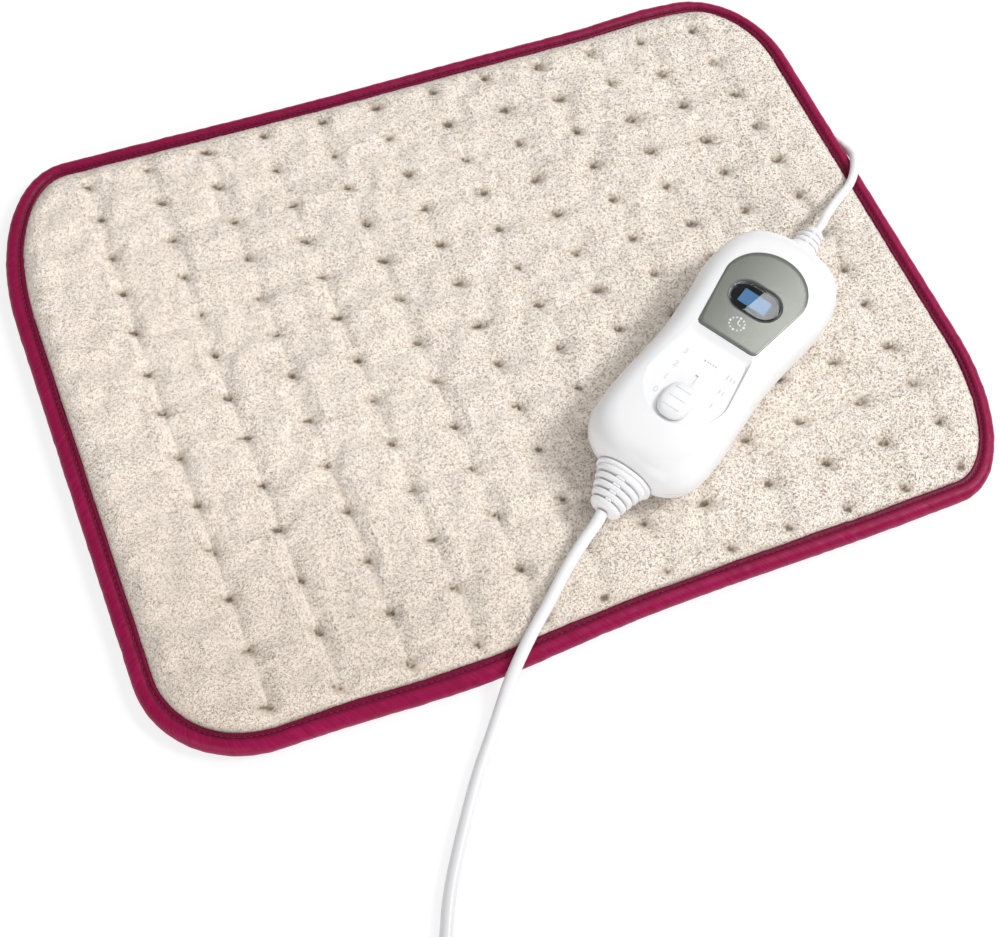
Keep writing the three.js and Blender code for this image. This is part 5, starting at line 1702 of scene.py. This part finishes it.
def makeScaleMarks():
    pieces = [inkDigit(text, u, marks["digitsAt"], marks["digitSize"], recess["floor"])
              for text, u in marks["digits"]]
    half = marks["barWidth"] / 2
    for count, u in marks["bars"]:
        for bar, length in enumerate(marks["barLengths"][:count]):
            v = marks["barsAt"] + (bar - (count - 1) / 2) * marks["barPitch"]
            pieces.append(inkBox(u - length / 2, v - half, u + length / 2, v + half,
                                 recess["floor"]))
    return placeOnController(joinPieces("scale_marks", pieces))


def makeArrowMark():
    low, high = marks["levelSpan"]
    at, half = marks["levelAt"], marks["levelHalf"]
    pieces = [inkBox(at - half, v, at + half, v + marks["levelDash"], recess["floor"])
              for v in np.linspace(low, high, 4)]
    radius, v = marks["levelDot"]
    pieces.append(inkDot(radius, at, v, recess["floor"], 16))
    return placeOnController(joinPieces("level_mark", pieces))


def makeClock():
    top, at, reach = faceplate["top"], marks["clockAt"], marks["clockRadius"]
    pieces = [inkDot(marks["dotRadii"][hour % 3], at + reach * a, reach * b, top, 12)
              for hour, (a, b) in enumerate(roundPlaces(12))]
    half, (long, short) = marks["handHalf"], marks["hands"]
    pieces.append(inkBox(at - half, -half, at + long, half, top))
    pieces.append(inkBox(at - half, -short, at + half, half, top))
    return placeOnController(joinPieces("clock_mark", pieces))


whiteCase = mouldedFinish("whiteCase", colour(0.80, 0.80, 0.81), 0.24)
greyInk = grainedFinish("greyInk", colour(0.60, 0.60, 0.61), 0.45, 4000, 0.00001)
darkInk = grainedFinish("darkInk", colour(0.36, 0.36, 0.37), 0.45, 4000, 0.00001)
whiteInk = grainedFinish("whiteInk", colour(0.86, 0.86, 0.85), 0.45, 4000, 0.00001)


# Satin lacquer with metal flake.
def faceplateFinish():
    finish = Finish("satinLacquer")
    flake = finish.noise(3800, 2, 0.6)
    drift = finish.noise(40, 2)
    shade = finish.blend(flake, colour(0.132, 0.139, 0.121), colour(0.182, 0.19, 0.168))
    rough = drift * 0.05 + 0.25
    return finish.surface(Base_Color=shade, Metallic=0.35, Roughness=rough,
                          Normal=finish.bump(flake, 0.00002, 0.5))


def lensFinish():
    finish = Finish("clearLens")
    smear = finish.noise(140, 3)
    return finish.surface(Base_Color=colour(0.90, 0.92, 0.94), Roughness=smear * 0.004,
                          Transmission_Weight=1.0, IOR=1.3)


def litGlassFinish():
    finish = Finish("litGlass")
    stripes = finish.noise(500, 1)
    glow = finish.blend(stripes, colour(0.065, 0.18, 0.35), colour(0.10, 0.24, 0.44))
    shade = finish.blend(stripes, colour(0.01, 0.02, 0.03), colour(0.02, 0.03, 0.05))
    return finish.surface(Base_Color=shade, Roughness=finish.noise(90, 2) * 0.1 + 0.5,
                          Specular_IOR_Level=0.0, Emission_Color=glow, Emission_Strength=1.0)


blackMask = mixedFinish("blackMask", 4000, colour(0.003, 0.003, 0.004),
                        colour(0.007, 0.007, 0.008), 0.9, Specular_IOR_Level=0.0)

finishPiece(makeUpperCase(), whiteCase, ("upper_housing",))
finishPiece(makeLowerCase(), whiteCase, ("lower_housing",))
print("case made")
for boot in reliefs["boots"]:
    finishPiece(makeRelief(boot), cordSheath, (boot["node"],))
finishPiece(makeFaceplate(), faceplateFinish(), ("faceplate",))
finishPiece(makeLens(), lensFinish(), ("display_window",))
finishPiece(makeMask(), blackMask)
finishPiece(makeGlass(), litGlassFinish())
finishPiece(makeKnob(), whiteCase, ("slider_knob",), "slider")
finishPiece(makeShutter(), whiteCase, (), "slider")
finishPiece(makeScaleMarks(), greyInk)
finishPiece(makeArrowMark(), darkInk)
finishPiece(makeClock(), whiteInk)
print("controller made")


# Plug

plug = {
    "x": -0.177,
    "axis": 0.0072,
    "relief": (-0.3093, -0.3313),
    "reliefRadii": (0.0039, 0.0054),
    "reliefRibs": 5,
    "bodyLength": 0.036,
    "halfWidth": 0.01765,
    "halfThick": 0.00671,
    "body": [
        (0, 0.90, 0.80), (0.015, 0.95, 0.92), (0.05, 0.99, 0.99), (0.12, 1, 1), (0.3, 0.985, 1),
        (0.42, 0.95, 1), (0.52, 0.87, 0.985), (0.62, 0.75, 0.955), (0.72, 0.62, 0.92),
        (0.82, 0.49, 0.885), (0.9, 0.41, 0.86), (0.97, 0.37, 0.83), (1, 0.34, 0.78),
    ],
    "sides": 72,
    "pinSpread": 0.0095,
    "pinRadius": 0.002,
    "pinLength": 0.019,
    "sleeveLength": 0.010,
    "coreRadius": 0.0016,
    "gripAt": 0.5,
    "gripPitch": 0.085,
    "gripHalf": 0.0005,
}

plugFace = plug["relief"][1] - plug["bodyLength"]


def makePlugBody():
    body = sweepRings("plug_moulding", [
        [(plug["x"] + plug["halfWidth"] * wide * a, plugFace + plug["bodyLength"] * along,
          plug["axis"] + plug["halfThick"] * thick * b)
         for a, b in roundPlaces(plug["sides"], 0.55, 0.8)]
        for along, wide, thick in plug["body"]])
    for side in (-1, 1):
        hole = addRound("pinSeat", plug["pinRadius"] + 0.0001, -0.004, 0.004, 0, 0, 28)
        place = (plug["x"] + side * plug["pinSpread"], plugFace, plug["axis"])
        combine(body, [seat(hole, Matrix.Translation(place)
                            @ Matrix.Rotation(quarterTurn, 4, "X"))])
    for side in (-1, 1):
        height = plug["axis"] + side * plug["halfThick"] * 0.97
        for step in range(4):
            place = plugFace + plug["bodyLength"] * (plug["gripAt"] + step * plug["gripPitch"])
            half = plug["halfWidth"] * (0.5 - 0.07 * step)
            combine(body, [addBlock("grip", (plug["x"] - half, place - plug["gripHalf"],
                                             height - 0.0006),
                                    (plug["x"] + half, place + plug["gripHalf"],
                                     height + 0.0006))])
    softenEdges(body, 0.0003, 2, 35)
    return body


# Rings that stand along Y, from a place and a radius each.
def roundRings(x, stations, sides=32):
    return [[(x + radius * a, y, plug["axis"] + radius * b) for a, b in roundPlaces(sides)]
            for y, radius in stations]


def makePlugRelief():
    first, last = plug["relief"]
    root, end = plug["reliefRadii"]
    stations = []
    for rib in range(plug["reliefRibs"]):
        for share, change in ((0, -0.0007), (0.06, -0.0001), (0.3, 0.0001), (0.62, 0),
                              (0.74, -0.0002), (0.76, -0.0012), (0.98, -0.0012)):
            place = (rib + share) / plug["reliefRibs"]
            stations.append((first + (last - first) * place, root + (end - root) * place + change))
    stations.append((last, end - 0.0002))
    piece = sweepRings("plug_lead_relief", roundRings(plug["x"], stations, 40))
    softenEdges(piece, 0.0001, 1, 35)
    return piece


plugWhite = mouldedFinish("plugWhite", colour(0.78, 0.78, 0.79), 0.4, 0.00006)
finishPiece(makePlugBody(), plugWhite, ("plug_body",))
finishPiece(makePlugRelief(), cordSheath, ("plug_strain_relief",))


def makePin(side):
    core, full = plug["coreRadius"], plug["pinRadius"]
    tip, collar = plugFace - plug["pinLength"], plugFace - plug["sleeveLength"]
    stations = [(plugFace + 0.003, core), (collar, core), (collar - 0.0002, full),
                (tip + 0.0018, full), (tip + 0.0009, full * 0.93), (tip + 0.0003, full * 0.7),
                (tip, full * 0.3)]
    pin = sweepRings("plug_pin", roundRings(plug["x"] + side * plug["pinSpread"], stations))
    smooth(pin, 40)
    return pin


def makeSleeve(side):
    x, end = plug["x"] + side * plug["pinSpread"], plugFace - plug["sleeveLength"]
    outer, inner = plug["pinRadius"], plug["coreRadius"] + 0.00005
    sleeve = sweepRings("pin_sleeve", roundRings(x, [
        (plugFace + 0.002, outer * 0.99), (end + 0.0004, outer * 0.99), (end, outer * 0.93)]))
    combine(sleeve, [sweepRings("bore", roundRings(x, [(plugFace + 0.004, inner),
                                                       (end - 0.001, inner)]))])
    smooth(sleeve, 40)
    return sleeve


nickel = metalFinish("nickelPlate", colour(0.72, 0.71, 0.67), 0.22)
blackSleeve = grainedFinish("blackSleeve", colour(0.02, 0.02, 0.022), 0.45)
for side, name in ((-1, "left"), (1, "right")):
    finishPiece(makePin(side), nickel, ("plug_pin_" + name,))
    finishPiece(makeSleeve(side), blackSleeve, ("plug_pin_sleeve_" + name,))
print("plug made")


# Gland where the short lead goes in under the bound edge

gland = {
    "start": (0.2023, 0.0434, 0.0035),
    "heading": math.radians(102),
    "bendRadius": 0.012,
    "length": 0.015,
    "root": (0.0024, 0.0024),
    "end": (0.0042, 0.0024),
    "sides": 32,
    "profile": [(0, 0.7), (0.02, 0.92), (0.07, 1), (0.2, 1), (0.35, 1), (0.5, 1), (0.65, 1),
                (0.8, 1), (0.92, 1), (1, 0.9)],
}


def makeGland():
    rings = []
    startX, startY, height = gland["start"]
    heading, bend = gland["heading"], gland["bendRadius"]
    for share, grow in gland["profile"]:
        turned = heading + gland["length"] * share / bend
        x = startX + bend * (math.sin(turned) - math.sin(heading))
        y = startY - bend * (math.cos(turned) - math.cos(heading))
        wide, tall = ((a + (b - a) * share) * grow for a, b in zip(gland["root"], gland["end"]))
        rings.append([(x + math.sin(turned) * wide * a, y - math.cos(turned) * wide * a,
                       height + tall * b) for a, b in roundPlaces(gland["sides"])])
    piece = sweepRings("pad_lead_gland", rings)
    smooth(piece, 40)
    return piece


finishPiece(makeGland(), cordSheath, ("pad_gland",))


# Finishes for the pieces inside, which keep their solids

def feltFinish():
    finish = Finish("needleFelt")
    fibre = finish.noise(1800, 4, 0.7)
    cloud = finish.noise(50, 3)
    shade = finish.blend(fibre, colour(0.62, 0.60, 0.55), colour(0.84, 0.82, 0.77))
    shade = finish.blend(cloud * 0.3, shade, colour(0.74, 0.70, 0.62))
    return finish.surface(Base_Color=shade, Roughness=0.95, Normal=finish.bump(fibre, 0.0004, 0.8))


# Solder mask over copper tracks, with a coarse hatch of fine lines.
def boardFinish():
    finish = Finish("solderMask")
    tracks = finish.node("TexVoronoi", {"feature": "DISTANCE_TO_EDGE"},
                         {"Vector": finish.place, "Scale": 260.0}, "Distance")
    line = tracks < 0.06
    shade = finish.blend(line, colour(0.02, 0.16, 0.045), colour(0.05, 0.27, 0.09))
    return finish.surface(Base_Color=shade, Roughness=finish.noise(300, 2) * 0.15 + 0.25,
                          Normal=finish.bump(line, 0.00003, 0.5))


displayPanel = mixedFinish("displayPanel", 700, colour(0.015, 0.02, 0.025),
                           colour(0.03, 0.04, 0.05), 0.2, 0.1)
fuseGlass = mixedFinish("fuseGlass", 700, colour(0.60, 0.64, 0.64), colour(0.80, 0.83, 0.83),
                        0.12, 0.1, Metallic=0.6)
tieWeb = mixedFinish("tieWeb", 1900, colour(0.55, 0.55, 0.56), colour(0.74, 0.74, 0.75), 0.6,
                     depth=0.0002)
blackMoulding = grainedFinish("blackMoulding", colour(0.02, 0.02, 0.022), 0.5)
innerWhite = mouldedFinish("innerWhite", colour(0.76, 0.76, 0.75), 0.45, 0.00005)
silicone = grainedFinish("siliconeWire", colour(0.66, 0.62, 0.53), 0.55, 900, 0.0001)
nodeFinishes = {
    feltFinish(): ("lower_felt", "upper_felt"),
    silicone: ("heating_wire", "wire_splice_outer", "wire_splice_inner"),
    blackMoulding: ("thermal_cutout_left", "thermal_cutout_right", "slide_switch",
                    "switch_actuator", "triac", "control_chip"),
    innerWhite: ("display_holder", "slider_carriage"),
    displayPanel: ("display_panel",),
    boardFinish(): ("circuit_board",),
    grainedFinish("greenTerminal", colour(0.04, 0.28, 0.09), 0.4): (
        "mains_terminal", "pad_terminal"),
    mouldedFinish("capacitorCase", colour(0.68, 0.43, 0.04), 0.25): ("suppression_capacitor",),
    fuseGlass: ("fuse",),
    mouldedFinish("blueLacquer", colour(0.03, 0.10, 0.34), 0.25, 0.0001): ("varistor",),
    metalFinish("zincPlate", colour(0.60, 0.60, 0.61), 0.3): (
        "housing_screw_1", "housing_screw_2", "housing_screw_3", "housing_screw_4"),
    tieWeb: ("cord_tie",),
}
for material, names in nodeFinishes.items():
    for name in names:
        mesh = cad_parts[name].data
        mesh.materials.clear()
        mesh.materials.append(material)
print("inner pieces finished")


# Floor and light

room = {
    "floorSize": 6.0,
    "worldStrength": 0.43,
    "floorGlow": 0.78,
}

# The card hangs level, and its edge shows as the edge of the lens's reflection.
lamps = [
    {"name": "cardLamp", "place": (0.7806, 0.3668, 1.2), "aim": (0.7806, 0.3668, 0),
     "size": 0.4, "power": 4.4, "roll": math.radians(20.6)},
    {"name": "keyLamp", "place": (2.0, -0.54, 2.175), "aim": (0.05, 0, 0), "size": 0.8,
     "power": 60.0, "roll": 0.0},
    {"name": "fillLamp", "place": (-1.25, -1.3, 0.5), "aim": (0, 0, 0), "size": 1.3,
     "power": 17.0, "roll": 0.0},
]


def addFloor():
    clearSelection()
    bpy.ops.mesh.primitive_plane_add(size=room["floorSize"], location=(0, 0, -0.0002))
    floor = bpy.context.object
    floor.name = "floor"
    seat(floor)
    finish = Finish("whiteFloor")
    lit = finish.node("BsdfDiffuse", {}, {"Color": white})
    glow = finish.node("Emission", {}, {"Color": white, "Strength": 1.0})
    seen = finish.node("LightPath", output="Is Camera Ray")
    floor.data.materials.append(
        finish.close(finish.node("MixShader", {}, {0: seen * room["floorGlow"], 1: lit, 2: glow})))


def addWorld():
    world = bpy.data.worlds.new("studio")
    bpy.context.scene.world = world
    world.use_nodes = True
    world.node_tree.nodes["Background"].inputs["Color"].default_value = white
    world.node_tree.nodes["Background"].inputs["Strength"].default_value = room["worldStrength"]


def addLamp(data):
    light = bpy.data.lights.new(data["name"], "AREA")
    light.shape = "SQUARE"
    light.size = data["size"]
    light.energy = data["power"]
    lamp = bpy.data.objects.new(data["name"], light)
    bpy.context.collection.objects.link(lamp)
    lamp.location = data["place"]
    aim = Vector(data["aim"]) - Vector(data["place"])
    turn = aim.to_track_quat("-Z", "Y") @ Matrix.Rotation(data["roll"], 3, "Z").to_quaternion()
    lamp.rotation_euler = turn.to_euler()


addFloor()
addWorld()
for lampData in lamps:
    addLamp(lampData)
bpy.context.scene.view_settings.view_transform = "Standard"
print("studio lit")

bpy.context.scene.frame_set(1)
